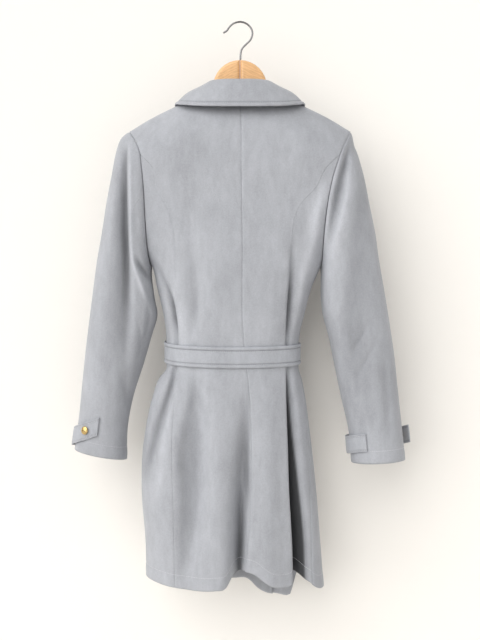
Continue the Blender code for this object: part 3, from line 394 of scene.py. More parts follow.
# Bands of painted shade on slopes turned from the light or, where the shade is negative,
# painted highlight on crests. Each row: height, place across, shade, reach left and right
PAINTED_SHADE_BANDS = {
    "beside_left_seam": (
        (-640, -76, 0, 8, 8), (-700, -89, 0.22, 10, 9), (-780, -103, 0.36, 12, 13),
        (-870, -102, 0.26, 13, 12), (-950, -105, 0.18, 12, 12), (-1020, -108, 0, 12, 12)),
    "left_flute_crest": (
        (-660, -113, 0, 6, 6), (-700, -124, -0.12, 6, 7), (-780, -138, -0.16, 8, 8),
        (-850, -146, -0.1, 9, 9), (-900, -150, 0, 9, 9)),
    "left_side_fold": (
        (-636, -121, 0.2, 5, 5), (-660, -123, 0.45, 5, 4), (-700, -134, 0.42, 8, 7),
        (-740, -147, 0.36, 9, 8), (-780, -157, 0.3, 9, 8), (-820, -168, 0.16, 9, 8),
        (-850, -174, 0, 9, 8)),
    "beside_centre_seam": (
        (-650, 13, 0, 6, 4), (-700, 12, 0.22, 10, 5), (-780, 12, 0.5, 13, 6),
        (-840, 13, 0.4, 11, 5), (-890, 14, 0, 9, 4)),
    "beside_right_armhole": (
        (-290, 158, 0, 12, 10), (-337, 139, -0.22, 13, 9), (-420, 126, -0.2, 12, 10),
        (-500, 108, -0.16, 9, 10), (-575, 98, 0, 8, 8)),
    "left_edge_of_back": (
        (-440, -130, 0, 8, 10), (-520, -112, -0.12, 6, 14), (-600, -106, -0.1, 6, 14),
        (-632, -104, 0, 6, 14)),
}
# Right edge of the gap beside the right flute, where its painted shade ends: height, place across
GAP_EDGE = ((-632, 84), (-700, 88.5), (-770, 96), (-833, 103.5), (-940, 114.5), (-1030, 118))
SHALLOW_SHADE = 0.55       # darkest painted shade in the folds above the waist
DEEP_SHADE = 0.84          # darkest painted shade in the folds of the skirt and in the gap
BESIDE_SHADE = 0.28        # painted shade on the slope to the right of the gap
SKIRT_SHADE_DROP = (640.0, 720.0)      # drop over which the skirt's painted fold shade comes in
BESIDE_SHADE_DROP = (800.0, 960.0)     # drop over which the painted shade on that slope comes in
GAP_SHADE_DROP = (632.0, 660.0)        # drop over which the gap's painted shade comes in


def painted_fold_shade(turn, height):
    """Painted shade deep in the folds and nearly black in the gap, from 0 to 1; negative bands
    paint highlight.
    """
    points = body_point(turn, height)
    across, back = points[..., 0], np.sin(turn) < 0
    plain = body_point(turn_at(across, height, np.where(back, -1.0, 1.0)), height, False)
    depth = np.where(back, 1.0, -1.0) * (points[..., 1] - plain[..., 1])
    skirt = ease(-height, *SKIRT_SHADE_DROP)
    shallow = SHALLOW_SHADE * np.clip((depth - 3) / 8, 0, 1) ** 2 * (1 - skirt)
    deep = DEEP_SHADE * np.clip((depth - 8) / 32, 0, 1) ** 2 * skirt
    edge = smooth(GAP_EDGE, height)
    beside = BESIDE_SHADE * ease(-height, *BESIDE_SHADE_DROP) * (1 - ease(across, edge + 6, edge + 22))
    gap = np.maximum(DEEP_SHADE * (1 - ease(across, edge - 3, edge + 3)), beside)
    gap = gap * np.clip((depth - 1.5) / 4, 0, 1) * ease(-height, *GAP_SHADE_DROP)
    # painted shade: deeper folds and the gap beside the right flute get a darker colour
    folds = np.maximum(shallow + deep, np.where(back & (across > 80), gap, 0.0))
    bands = np.where(back, fold_depth(PAINTED_SHADE_BANDS, across, height), 0.0)
    return np.maximum(folds, np.maximum(bands, 0)) + np.minimum(bands, 0)


def add_cloth(name, points, outward, material, node, thickness=CLOTH, ring=False, shade=None):
    """One cloth wall from a grid of outer points in millimetres, with its folds' shade."""
    rows, columns = points.shape[:2]
    index = np.arange(rows * columns).reshape(rows, columns)
    if ring:
        index = np.concatenate([index, index[:, :1]], axis=1)
    faces = np.stack([index[:-1, :-1], index[1:, :-1], index[1:, 1:], index[:-1, 1:]],
                     axis=-1).reshape(-1, 4)
    flat = points.reshape(-1, 3)
    first = flat[faces[len(faces) // 2]]
    facing = np.cross(first[1] - first[0], first[2] - first[0])
    if np.dot(facing, outward.reshape(-1, 3)[faces[len(faces) // 2][0]]) < 0:
        faces = faces[:, ::-1]
    piece = add_mesh(name, (flat * METRES).tolist(), faces.tolist(), material)
    piece.data.shade_smooth()
    if shade is not None:
        piece.data.attributes.new("fold_shade", "FLOAT", "POINT").data.foreach_set(
            "value", shade.ravel().astype(np.float32))
    wall = piece.modifiers.new("cloth_wall", "SOLIDIFY")
    wall.thickness = thickness
    wall.offset = -1.0
    wall.use_rim = True
    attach(piece, "root")
    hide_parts(node)
    return piece


def outward_of_body(points):
    left, right = side_extents(points[..., 2])
    return np.stack([points[..., 0] - (left + right) / 2, points[..., 1] * 2,
                     0 * points[..., 0]], axis=-1)


def distance_up_from_hem(points):
    """Length along each column from the hem up, in millimetres."""
    step = np.linalg.norm(np.diff(points, axis=0), axis=-1)
    total = np.cumsum(step[::-1], axis=0)[::-1]
    return np.concatenate([total, np.zeros((1, points.shape[1]))], axis=0)


def hem_groove(points, normals):
    """Presses the row of hem stitches in and swells the turned hem below it."""
    above = distance_up_from_hem(points)
    press = HEM_PRESS * bell(above - HEM_STITCH, 1.4)
    swell = -HEM_SWELL * bell(above - HEM_STITCH / 2, 8.0)
    return points - normals * (press + swell)[..., None]


def new_group(name, inputs, outputs):
    """A shader node group with named inputs and outputs, and its two end nodes."""
    group = bpy.data.node_groups.new(name, "ShaderNodeTree")
    for socket, kind, value in inputs:
        made = group.interface.new_socket(name=socket, in_out="INPUT", socket_type=kind)
        made.default_value = value
    for socket, kind in outputs:
        group.interface.new_socket(name=socket, in_out="OUTPUT", socket_type=kind)
    return group, group.nodes.new("NodeGroupInput"), group.nodes.new("NodeGroupOutput")


def place_group(tree, group, **values):
    node = tree.nodes.new("ShaderNodeGroup")
    node.node_tree = group
    return set_inputs(tree, node, **values)


def maths(tree, operation, *values):
    """Output of a maths node on values or outputs."""
    step = tree.nodes.new("ShaderNodeMath")
    step.operation = operation
    for socket, value in zip(step.inputs, values):
        feed(tree, socket, value)
    return step.outputs[0]


def blend(tree, *parts):
    """Sum of outputs, each with its weight."""
    total = 0.0
    for output, weight in parts:
        total = maths(tree, "MULTIPLY_ADD", output, weight, total)
    return total


def add_bump(tree, shader, height, strength, distance):
    bump = add_node(tree, "Bump", Strength=strength, Distance=distance, Height=height)
    set_inputs(tree, shader, Normal=bump.outputs["Normal"])


nap, nap_in, nap_out = new_group(
    "brushed_nap_and_painted_shade",
    (("Cloth Colour", "NodeSocketColor", (0.47, 0.475, 0.5, 1)),
     ("Mottle", "NodeSocketFloat", 0.1), ("Fibre Size", "NodeSocketFloat", 1.0)),
    (("Colour", "NodeSocketColor"), ("Roughness", "NodeSocketFloat"),
     ("Height", "NodeSocketFloat")))
nap_place = add_node(nap, "TexCoord").outputs["Object"]


def nap_noise(scale, detail, stretch=(1.0, 1.0, 1.0)):
    """A noise stretched along the nap."""
    along = add_node(nap, "Mapping", Vector=nap_place, Scale=stretch)
    return add_node(nap, "TexNoise", Vector=along.outputs["Vector"], Scale=scale, Detail=detail,
                    Roughness=0.6).outputs["Fac"]


clouds = nap_noise(14.0, 3.0, (1.0, 1.0, 0.55))
strokes = nap_noise(90.0, 4.0, (1.0, 1.0, 0.35))
fibres = nap_noise(1400.0, 2.0, (1.0, 1.0, 0.4))
grain = nap_noise(380.0, 4.0)
uneven = maths(nap, "SUBTRACT", blend(nap, (clouds, 0.4), (strokes, 0.3), (grain, 0.3)), 0.5)
tone = maths(nap, "MULTIPLY_ADD", uneven, nap_in.outputs["Mottle"], 1.0)
# painted shade: the mesh's fold_shade darkens the colour in folds, gaps and stitch grooves, and
# lightens it where negative
folds = nap.nodes.new("ShaderNodeAttribute")
folds.attribute_name = "fold_shade"
tone = maths(nap, "MULTIPLY", tone, maths(nap, "SUBTRACT", 1.0, folds.outputs["Fac"]))
tint = nap.nodes.new("ShaderNodeVectorMath")
tint.operation = "SCALE"
set_inputs(nap, tint, Vector=nap_in.outputs["Cloth Colour"], Scale=tone)
height = blend(nap, (fibres, 0.5), (grain, 0.5), (strokes, 0.4))
set_inputs(nap, nap_out, Colour=tint.outputs["Vector"],
           Roughness=maths(nap, "MULTIPLY_ADD", strokes, 0.12, 0.84),
           Height=maths(nap, "MULTIPLY", height, nap_in.outputs["Fibre Size"]))


def suede(name, colour, bump_distance):
    """Brushed suede-finish cloth: cloudy nap, short fibres, a soft bloom at the edges, and the
    painted shade of its mesh's fold_shade.
    """
    material, tree, shader = new_material(name)
    group = place_group(tree, nap, Cloth_Colour=(*colour, 1), Mottle=1.05, Fibre_Size=1.0)
    set_inputs(tree, shader, Base_Color=group.outputs["Colour"],
               Roughness=group.outputs["Roughness"], Sheen_Weight=0.25, Sheen_Roughness=0.45,
               Sheen_Tint=(0.93, 0.95, 1.0, 1), Specular_IOR_Level=0.25)
    add_bump(tree, shader, group.outputs["Height"], 0.35, bump_distance)
    return material


coat_suede = suede("coat_suede", (0.375, 0.388, 0.42), 0.0018)

thread, tree, shader = new_material("grey_thread")
twist = add_node(tree, "TexWave", Scale=900.0, Distortion=1.5)
set_inputs(tree, shader, Base_Color=(0.56, 0.57, 0.6, 1), Roughness=0.55)
add_bump(tree, shader, twist.outputs["Fac"], 0.4, 0.0001)
STITCH_PITCH = 3.3
STITCH_HALF = (1.3, 0.4, 0.34)      # along the row, across it and out of the cloth


def add_stitches(name, lines):
    """Rows of single stitches; each line is its points and the way out of the cloth."""
    corners, faces = [], []
    ring = [(along, math.cos(turn), math.sin(turn)) for along in (-0.55, 0.55)
            for turn in np.radians((0, 72, 144, 216, 288))]
    stitch = np.array([(-1, 0, 0)] + ring + [(1, 0, 0)]) * STITCH_HALF
    sides = [(0, 1 + (i + 1) % 5, 1 + i) for i in range(5)]
    sides += [(1 + i, 1 + (i + 1) % 5, 6 + (i + 1) % 5, 6 + i) for i in range(5)]
    sides += [(11, 6 + i, 6 + (i + 1) % 5) for i in range(5)]
    for points, out in lines:
        step = np.linalg.norm(np.diff(points, axis=0), axis=1)
        length = np.concatenate([[0], np.cumsum(step)])
        marks = np.arange(STITCH_PITCH / 2, length[-1], STITCH_PITCH)
        centre, way, before, after = (
            np.stack([np.interp(marks + shift, length, column) for column in table.T], axis=1)
            for table, shift in ((points, 0), (out, 0), (points, -0.8), (points, 0.8)))
        along, way = unit(after - before), unit(way)
        across = np.cross(along, way)
        for at, x, y, z in zip(centre, along, across, way):
            first = len(corners)
            corners += list(at + stitch @ np.stack([x, y, z]))
            faces += [tuple(first + i for i in side) for side in sides]
    row = add_mesh(name, (np.array(corners) * METRES).tolist(), faces, thread)
    row.data.shade_smooth()
    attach(row, "root")


def line_above_edge(points, normals, distance):
    """The line of a grid, and its normals, that lies a distance above its lower edge."""
    up = distance_up_from_hem(points)[::-1]
    return [np.array([[np.interp(distance, up[:, column], table[::-1, column, axis])
                       for axis in range(3)] for column in range(points.shape[1])])
            for table in (points, normals)]


SKIRT_PARTS = np.linspace(0, 1, 200)             # rows from the underarm level to the hem
YOKE_TURNS = np.linspace(0, 1, 90) * math.pi     # rows above it, by their turn at the armhole


def panel_below(first_seam, last_seam, shares):
    """Angles and heights of a back panel's grid from the underarm level to the hem."""
    first, last = seam_place(first_seam, SKIRT_PARTS), seam_place(last_seam, SKIRT_PARTS)
    turn = first[0][:, None] * (1 - shares) + last[0][:, None] * shares
    level = row_height(SKIRT_PARTS, 0.0, -1)[:, None] + 0 * turn
    across = body_point(turn, level, False)[..., 0]
    height = row_height(SKIRT_PARTS[:, None], across, np.sin(turn))
    height[:, 0], height[:, -1] = first[1], last[1]
    return turn, height


EVEN_ROWS = 0.3            # how evenly the rows above are spaced; the rest follows the seam


def panel_above(first, last, top, shares, facing):
    """Angles and heights above the underarm level, blended from the panel's four edges."""
    u = shares[None, :, None]
    v = (first[:, 1] - first[0, 1]) / (first[-1, 1] - first[0, 1])
    v = (np.linspace(0, 1, len(first)) * EVEN_ROWS + (1 - EVEN_ROWS) * v)[:, None, None]
    bottom = first[-1] * (1 - u[0]) + last[-1] * u[0]
    place = ((1 - u) * first[:, None] + u * last[:, None] + (1 - v) * top[None] + v * bottom[None]
             - (1 - v) * ((1 - u) * first[0] + u * last[0]) - v * bottom[None])
    across = place[..., 0]
    height = np.minimum(place[..., 1], shoulder_height(across))
    return turn_at(across, height, facing), height


def princess_top(side, height):
    """Across of the princess seam between the armhole and the underarm level."""
    start = armhole_place(side, math.pi * PRINCESS_SHARE)
    leave = ease(-height, -start[1], -start[1] + 60)
    start_x = start[0] - side * (start[1] - height) * 1.1
    return start_x + (smooth(PRINCESS[side], height) - start_x) * leave


def sew_panel(name, node, turn, height, dip):
    """A panel of the body from its grid of places and how far each goes in."""
    points = body_point(turn, height)
    normals = grid_normals(points, outward_of_body(points))
    points = hem_groove(points - normals * dip[..., None], normals)
    panel = add_cloth(name, points, normals, coat_suede, node, shade=painted_fold_shade(turn, height))
    return panel, points, normals


BACK_WIDTH = 125.0
# How clearly the princess seam shows at a height, on the left and on the right
SEAM_SHOWS = (
    (-140, 1.0, 1.0), (-225, 1.0, 1.0), (-262, 0.12, 0.5), (-560, 0.12, 0.3), (-640, 0.55, 0.9),
    (-1030, 0.7, 1.0))
hem_lines = []
for side, word in SIDES:
    shares = seam_columns(48, BACK_WIDTH)
    edge_x, edge_z = armhole_place(side, YOKE_TURNS)
    below = YOKE_TURNS > math.pi * PRINCESS_SHARE
    edge_x = np.where(below, princess_top(side, edge_z), edge_x)
    first = np.stack([edge_x, edge_z], axis=-1)
    neck_middle = NECK_Z - NECK_DROP
    part = (edge_z - edge_z[0]) / (UNDERARM_Z - edge_z[0])
    middle_z = neck_middle + (UNDERARM_Z - neck_middle) * part
    last = np.stack([smooth(CENTRE_BACK, middle_z), middle_z], axis=-1)
    top_x = edge_x[0] * (1 - shares)
    top_z = np.where(np.abs(top_x) >= NECK_X, shoulder_height(top_x),
                     neck_middle + NECK_DROP * (top_x / NECK_X) ** 2)
    above = panel_above(first, last, np.stack([top_x, top_z], axis=-1), shares, -1)
    lower = panel_below(PRINCESS[side], CENTRE_BACK, shares)
    turn = np.concatenate([above[0], lower[0][1:]])
    height = np.concatenate([above[1], lower[1][1:]])
    shows = smooth(SEAM_SHOWS, height[:, 0], 1 if side < 0 else 2)[:, None]
    dip = seam_dip(shares, BACK_WIDTH, last=0) * shows + seam_dip(shares, BACK_WIDTH, first=0)
    back, points, normals = sew_panel("back_panel_" + word, "back_" + word, turn, height, dip)
    hem_lines.append(line_above_edge(points, normals, HEM_STITCH))
add_stitches("back_hem_stitches", hem_lines)

# ---------------------------------------------------------------- side backs
# A narrow panel on each side of the back, of the same cloth. Its curved princess seam
# starts in the armhole and runs through the waist to the hem.
SIDE_WIDTH = 60.0
NARROW = 12.0              # where the panel is narrower, its rolled seams flatten out
# How clearly the princess seam shows on this side of it, by height
PRINCESS_SHOWS = ((-250, 0.15), (-560, 0.3), (-640, 0.9), (-1030, 1.0))
hem_lines = []
for side, word in SIDES:
    shares = seam_columns(26, SIDE_WIDTH)
    step = np.linspace(PRINCESS_SHARE, 1, 60) * math.pi
    edge_x, edge_z = armhole_place(side, step)
    inner_x = princess_top(side, edge_z)
    edge_turn = turn_at(edge_x, edge_z, -1)
    edge_turn[-1] = -math.pi if side < 0 else 0.0
    inner_turn = turn_at(inner_x, edge_z, -1)
    upper_turn = edge_turn[:, None] * (1 - shares) + inner_turn[:, None] * shares
    tall = edge_z[:, None] + 0 * upper_turn
    lower = panel_below(side, PRINCESS[side], shares)
    turn = np.concatenate([upper_turn, lower[0][1:]])
    height = np.concatenate([tall, lower[1][1:]])
    edges = body_point(turn[:, [0, -1]], height[:, [0, -1]])
    room = np.linalg.norm(edges[:, 1] - edges[:, 0], axis=-1)[:, None]
    dip = seam_dip(shares, SIDE_WIDTH, 0.5, 0.5) * np.clip(room / NARROW, 0, 1)
    dip = dip * smooth(PRINCESS_SHOWS, height[:, -1])[:, None]
    side_back, points, normals = sew_panel("side_back_panel_" + word, "side_back_" + word, turn,
                                           height, dip)
    hem_lines.append(line_above_edge(points, normals, HEM_STITCH))
add_stitches("side_back_hem_stitches", hem_lines)

# ---------------------------------------------------------------- fronts
# Two plain fronts of the same cloth, wrapped over each other and held by the belt. The neck
# edge of each slants down to the wrap, and a row of stitches runs along its free edge.
WRAP_X = 60.0
WRAP_CROSS_Z = -430.0
WRAP_STEP = 4.8            # how far the left front lies under the right one
OUTER_COLUMNS = 40
LAP_COLUMNS = 40
FRONT_STITCH = 8.0         # from a front's free edge to the row of stitches along it
front_lines = []
for side, word in SIDES:
    seam_turn, seam_height = seam_place(side, SKIRT_PARTS)
    if side < 0:
        seam_turn = seam_turn + 2 * math.pi
    level = row_height(SKIRT_PARTS, 0.0, 1)
    lap_x = side * np.linspace(WRAP_X, -WRAP_X, LAP_COLUMNS)
    lap_turn = turn_at(lap_x[None, :] + 0 * level[:, None], level[:, None] + 0 * lap_x, 1)
    outer = np.linspace(0, 1, OUTER_COLUMNS)[:-1]
    outer_turn = seam_turn[:, None] * (1 - outer) + lap_turn[:, :1] * outer
    turn = np.concatenate([outer_turn, lap_turn], axis=1)
    across = body_point(turn, level[:, None] + 0 * turn, False)[..., 0]
    height = row_height(SKIRT_PARTS[:, None], across, np.sin(turn))
    height[:, 0] = seam_height
    shares = (across[0] - across[0, 0]) / (across[0, -1] - across[0, 0])
    edge_x, edge_z = armhole_place(side, YOKE_TURNS)
    first = np.stack([edge_x, edge_z], axis=-1)
    part = (edge_z - edge_z[0]) / (UNDERARM_Z - edge_z[0])
    inner_z = NECK_Z + (UNDERARM_Z - NECK_Z) * part
    slant = np.clip((NECK_Z - inner_z) / (NECK_Z - WRAP_CROSS_Z), 0, 1)
    last = np.stack([side * (NECK_X - (NECK_X + WRAP_X) * slant), inner_z], axis=-1)
    top_x = edge_x[0] + (side * NECK_X - edge_x[0]) * shares
    top = np.stack([top_x, shoulder_height(top_x)], axis=-1)
    above = panel_above(first, last, top, shares, 1)
    upper_turn = np.where(above[0] < 0, above[0] + 2 * math.pi, above[0]) if side < 0 else above[0]
    turn = np.concatenate([upper_turn, turn[1:]])
    height = np.concatenate([above[1], height[1:]])
    dip = np.zeros(height.shape)
    if side < 0:
        across = body_point(turn, height)[..., 0]
        dip = WRAP_STEP * ease(across, -100.0, -70.0) * ease(-height, 200.0, 250.0)
    front, points, normals = sew_panel("front_panel_" + word, "front_" + word, turn, height, dip)
    front_lines.append(line_above_edge(points, normals, HEM_STITCH))
    front_lines.append(line_above_edge(points.swapaxes(0, 1), normals.swapaxes(0, 1),
                                       FRONT_STITCH))
add_stitches("front_stitches", front_lines)

# ---------------------------------------------------------------- sleeves
# Two-piece sleeves set into the armholes, hanging free with a slight bend at the elbow.
# The cuffs are turned up and stitched once.
# Left sleeve, -1, and right sleeve, 1. One row for each ring: outer edge across and height,
# inner edge across and height, half the depth
SLEEVE = {
    -1: (
        (-204.5, -202, -162, -452, 46), (-213, -208, -162.6, -456, 50),
        (-222, -219, -163, -460, 52), (-230, -246, -163, -466, 52),
        (-238, -291, -162.7, -474, 52), (-246, -335, -161.7, -484, 51),
        (-255, -394, -159.5, -498, 50), (-263, -439, -157, -514, 49),
        (-270, -491, -153, -542, 48), (-277.5, -550, -163.5, -580, 47),
        (-285, -609, -178, -630, 46), (-292, -676, -197.5, -692, 45),
        (-298, -735, -208, -750, 44), (-305, -787, -209, -806, 44)),
    1: (
        (204.5, -202, 149, -452, 46), (208, -212, 149.6, -456, 50), (211, -228, 150, -460, 52),
        (218, -247, 150, -466, 52), (229, -288, 149.7, -474, 52), (238, -335, 149.3, -485, 51),
        (249, -390, 149.3, -500, 50), (256, -440, 150, -515, 49), (265.5, -495, 153.6, -542, 48),
        (275, -553, 165.5, -588, 47), (284.5, -615, 174, -630, 46), (291.5, -680, 187, -692, 45),
        (298, -740, 200.5, -752, 44), (305, -806, 206, -812, 44)),
}
# Folds of the sleeves, with the columns of the body's folds
FOLDS_SLEEVE = {
    -1: {
        "long_valley": (
            (-222, -206, 0, 8, 3), (-250, -206, 8, 10, 3.5), (-300, -206, 12, 12, 4),
            (-370, -205, 14, 13, 4.5), (-430, -203.5, 14, 13, 5), (-500, -204, 11, 13, 8),
            (-560, -206, 7, 12, 10), (-630, -208, 3, 11, 11), (-690, -210, 0, 10, 10)),
        "inner_ridge": (
            (-222, -197, 0, 4, 4), (-270, -197, -2.5, 4, 5), (-360, -196, -3, 4, 6),
            (-430, -193.5, -3, 4, 6), (-462, -186, -4, 4, 6), (-490, -175, -5, 5, 4),
            (-520, -166, -4, 5, 4), (-545, -160, 0, 5, 5)),
        "crumple": (
            (-432, -186, 0, 4, 4), (-448, -182, 7, 6, 6), (-462, -173, 9, 6, 7),
            (-478, -163, 7, 5, 6), (-492, -155, 0, 4, 5)),
        "low_crumple": (
            (-500, -172, 0, 5, 4), (-525, -165, 4, 5, 4), (-560, -167, 5, 5, 5),
            (-600, -178, 3, 5, 6), (-640, -190, 0, 5, 6)),
        "elbow_crease": ((-540, -186, 0, 4, 3), (-575, -180, 2.4, 5, 3), (-615, -184, 0, 5, 3)),
        "cuff_crease": ((-640, -214, 0, 6, 8), (-680, -208, 4, 6, 10), (-735, -200, 0, 6, 12)),
    },
    1: {
        "cap_valley": (
            (-212, 203, 0, 5, 5), (-232, 197, 5, 6, 5), (-262, 190, 8, 7, 6),
            (-310, 180, 8, 8, 7), (-360, 170, 6, 8, 7), (-405, 160, 3, 7, 6),
            (-430, 154, 0, 6, 6)),
        "arm_ridge": (
            (-232, 207, 0, 6, 9), (-270, 203, -3, 7, 12), (-322, 195, -5, 9, 15),
            (-386, 180, -5, 10, 16), (-440, 165, -2, 9, 14), (-480, 158, 0, 9, 12)),
        "elbow_crease_high": (
            (-545, 236, 0, 5, 3), (-575, 222, 1.4, 6, 4), (-600, 208, 1.8, 6, 4),
            (-625, 196, 0, 5, 4)),
        "elbow_crease_low": (
            (-575, 250, 0, 5, 3), (-605, 238, 1.2, 6, 4), (-640, 218, 1.6, 6, 4),
            (-670, 204, 0, 5, 4)),
        "low_valley": (
            (-560, 262, 0, 9, 9), (-640, 262, 3, 10, 10), (-720, 266, 3, 10, 10),
            (-780, 268, 0, 9, 9)),
    },
}
# Bands of painted shade on the sleeves' sides, with the columns of the back's bands
PAINTED_SLEEVE_SHADE = {
    -1: {
        "outer_side": (
            (-250, -218, 0, 10, 8), (-335, -222, 0.16, 9, 8), (-430, -224, 0.22, 15, 10),
            (-514, -226, 0.24, 18, 12), (-600, -232, 0.18, 20, 16), (-720, -240, 0, 20, 20)),
    },
    1: {
        "outer_side": (
            (-250, 224, 0, 10, 14), (-335, 214, 0.14, 14, 20), (-478, 200, 0.24, 13, 32),
            (-585, 200, 0.26, 24, 28), (-690, 220, 0.14, 24, 24), (-780, 240, 0, 20, 20)),
    },
}
RINGS = len(SLEEVE[1]) - 1
JOIN_RINGS = 6             # rings over which a sleeve leaves the armhole's shape
FOLD_RINGS = 2             # rings over which its folds come in
ROUNDER = (0.65, 0.88)     # part of the way down where its back turns from flat to round
SLEEVE_LEAN = 0.12
SLEEVE_FLATNESS = 0.3      # 0 gives the back an elliptic section, more makes it flatter


def sleeve_columns(side, along):
    """Outer edge across and height, inner edge, and half the depth, at places along."""
    table = [(i / RINGS,) + row for i, row in enumerate(SLEEVE[side])]
    return [smooth(table, along, column) for column in range(1, 6)]


def sleeve_ring(side, turn, along):
    """Point of a sleeve's plain ring; its back leans out, fullest towards the body."""
    outer_x, outer_z, inner_x, inner_z, depth = sleeve_columns(side, along)
    upper = 1 - ease(along, *ROUNDER)
    sine = np.sin(turn - SLEEVE_LEAN * upper * np.clip(np.sin(turn), 0, 1))
    flat = np.where(sine > 0, 1 - SLEEVE_FLATNESS * upper, 1.0)
    return np.stack([(outer_x + inner_x) / 2 + (outer_x - inner_x) / 2 * np.cos(turn),
                     -depth * np.sign(sine) * np.abs(sine) ** flat,
                     (outer_z + inner_z) / 2 + (outer_z - inner_z) / 2 * np.cos(turn)], axis=-1)


def sleeve_face(side, turn, along):
    """Points of a sleeve and how far its folds go in there; turn 0 is its outer edge,
    pi / 2 the back, and along runs from 0 at the armhole to 1 at the cuff."""
    across, height = armhole_place(side, turn)
    facing = np.where(np.sin(turn) >= 0, -1.0, 1.0)
    armhole = body_point(turn_at(across, height, facing), height)
    keep = np.asarray(1 - ease(along, 0.0, JOIN_RINGS / RINGS))[..., None]
    point = sleeve_ring(side, turn, along) + keep * (armhole - sleeve_ring(side, turn, 0.0))
    push = fold_depth(FOLDS_SLEEVE[side], point[..., 0], point[..., 2])
    push = push * np.clip(np.sin(turn), 0, 1) ** 0.5 * ease(along, 0.0, FOLD_RINGS / RINGS)
    point[..., 1] = point[..., 1] + push
    return point, push


def sleeve_away(side, points, along):
    """Way from the middle of a sleeve's ring to its points."""
    outer_x, outer_z, inner_x, inner_z, depth = sleeve_columns(side, along)
    return points - np.stack([(outer_x + inner_x) / 2, 0 * depth, (outer_z + inner_z) / 2], axis=-1)


SLEEVE_ROWS = 210
SLEEVE_WIDTH = 150.0
RIDGE_HIGHLIGHT = 0.07         # painted highlight for each millimetre of a ridge
VALLEY_SHADE = 0.62        # darkest painted shade in a valley, where it is VALLEY_DEPTH deep
VALLEY_DEPTH = 12.0
cuff_lines = []
for side, word in SIDES:
    for part, start in (("upper", -0.5), ("under", 0.5)):
        shares = seam_columns(54, SLEEVE_WIDTH)
        turn = (start + shares) * math.pi
        along = np.linspace(0, 1, SLEEVE_ROWS)
        turn, place_along = np.meshgrid(turn, along)
        points, push = sleeve_face(side, turn, place_along)
        # painted shade in the valleys and along the bands, painted highlight on the ridges
        valley = VALLEY_SHADE * np.clip(push / VALLEY_DEPTH, 0, 1) ** 1.2
        shade = np.where(push > 0, valley, RIDGE_HIGHLIGHT * push)
        bands = fold_depth(PAINTED_SLEEVE_SHADE[side], points[..., 0], points[..., 2])
        shade = np.where(np.sin(turn) > 0, np.maximum(shade, 0.6 * shade + bands), shade)
        normals = grid_normals(points, sleeve_away(side, points, place_along))
        from_cap = distance_up_from_hem(points[::-1])[::-1]
        roll = 1.2 * bell(from_cap, 1.8)
        points = points - normals * roll[..., None]
        points = hem_groove(points, normals)
        cuff_lines.append(line_above_edge(points, normals, HEM_STITCH))
        sleeve = add_cloth(f"sleeve_{part}_panel_{word}", points, normals, coat_suede,
                           f"sleeve_{part}_{word}", shade=shade)
add_stitches("cuff_stitches", cuff_lines)

# ---------------------------------------------------------------- collar
# A stand sewn to the neck edge and a fall that rolls over it, two layers of the cloth with
# one row of stitches eight millimetres inside the edge.
COLLAR_CLOTH = 0.0023
COLLAR_SIDE = 0.6
COLLAR_FRONT_DROP = 50.0
COLLAR_STITCH = 8.0
COLLAR_PRESS = 1.1         # how deep its stitches lie, and how far its edge swells
STITCH_SHADE = 0.34        # painted shade along the grooves of pressed stitches
GROOVE = 1.3               # how far that reaches to each side of them
# Place along from the middle of the back, roll line (across, depth, height), lower edge
COLLAR = (
    (0.0, 0, -34, -113.2, 0, -57, -168), (0.22, 28, -32, -112.8, 42, -56, -167.5),
    (0.42, 49, -22, -112.2, 82, -46, -164), (0.55, 57, -8, -111.8, 109, -25, -157),
    (0.64, 58.5, 4, -112.2, 120.5, -2, -151.5), (0.76, 56, 17, -120, 114, 26, -164),
    (0.88, 52, 30, -136, 103, 45, -187), (1.0, 46, 42, -156, 88, 60, -216))


def collar_points(place, parts):
    """Column of points of the collar's face at a place along it, neck seam to edge."""
    mirror = -1 if place < 0 else 1
    place = abs(place)
    if place <= COLLAR_SIDE:
        across = NECK_X * math.sin(math.pi / 2 * place / COLLAR_SIDE)
        height = NECK_Z - NECK_DROP * (1 - (across / NECK_X) ** 2)
        facing = -1
    else:
        height = NECK_Z - COLLAR_FRONT_DROP * (place - COLLAR_SIDE) / (1 - COLLAR_SIDE)
        slant = (NECK_Z - height) / (NECK_Z - WRAP_CROSS_Z)
        across = NECK_X - (NECK_X + WRAP_X) * slant
        facing = 1
    base = body_point(turn_at(across, height, facing), np.array(height))
    base[0] -= across / NECK_X
    base[2] += 0.8
    roll = np.array([smooth(COLLAR, place, c) for c in (1, 2, 3)])
    edge = np.array([smooth(COLLAR, place, c) for c in (4, 5, 6)])
    away = edge - roll
    away[2] = 0
    away = unit(away)
    up = np.array([0.0, 0.0, 1.0])
    middle = roll * 0.42 + edge * 0.58 + up * 5 + away * 3
    marks = (0.0, 0.22, 0.4, 0.55, 0.78, 1.0)
    line = (base, roll - away * 4.5 - up * 6, roll, roll + away * 7 - up * 3.5, middle, edge)
    table = [(mark,) + tuple(point) for mark, point in zip(marks, line)]
    points = np.stack([smooth(table, parts, c) for c in (1, 2, 3)], axis=-1)
    points[:, 0] *= mirror
    return points


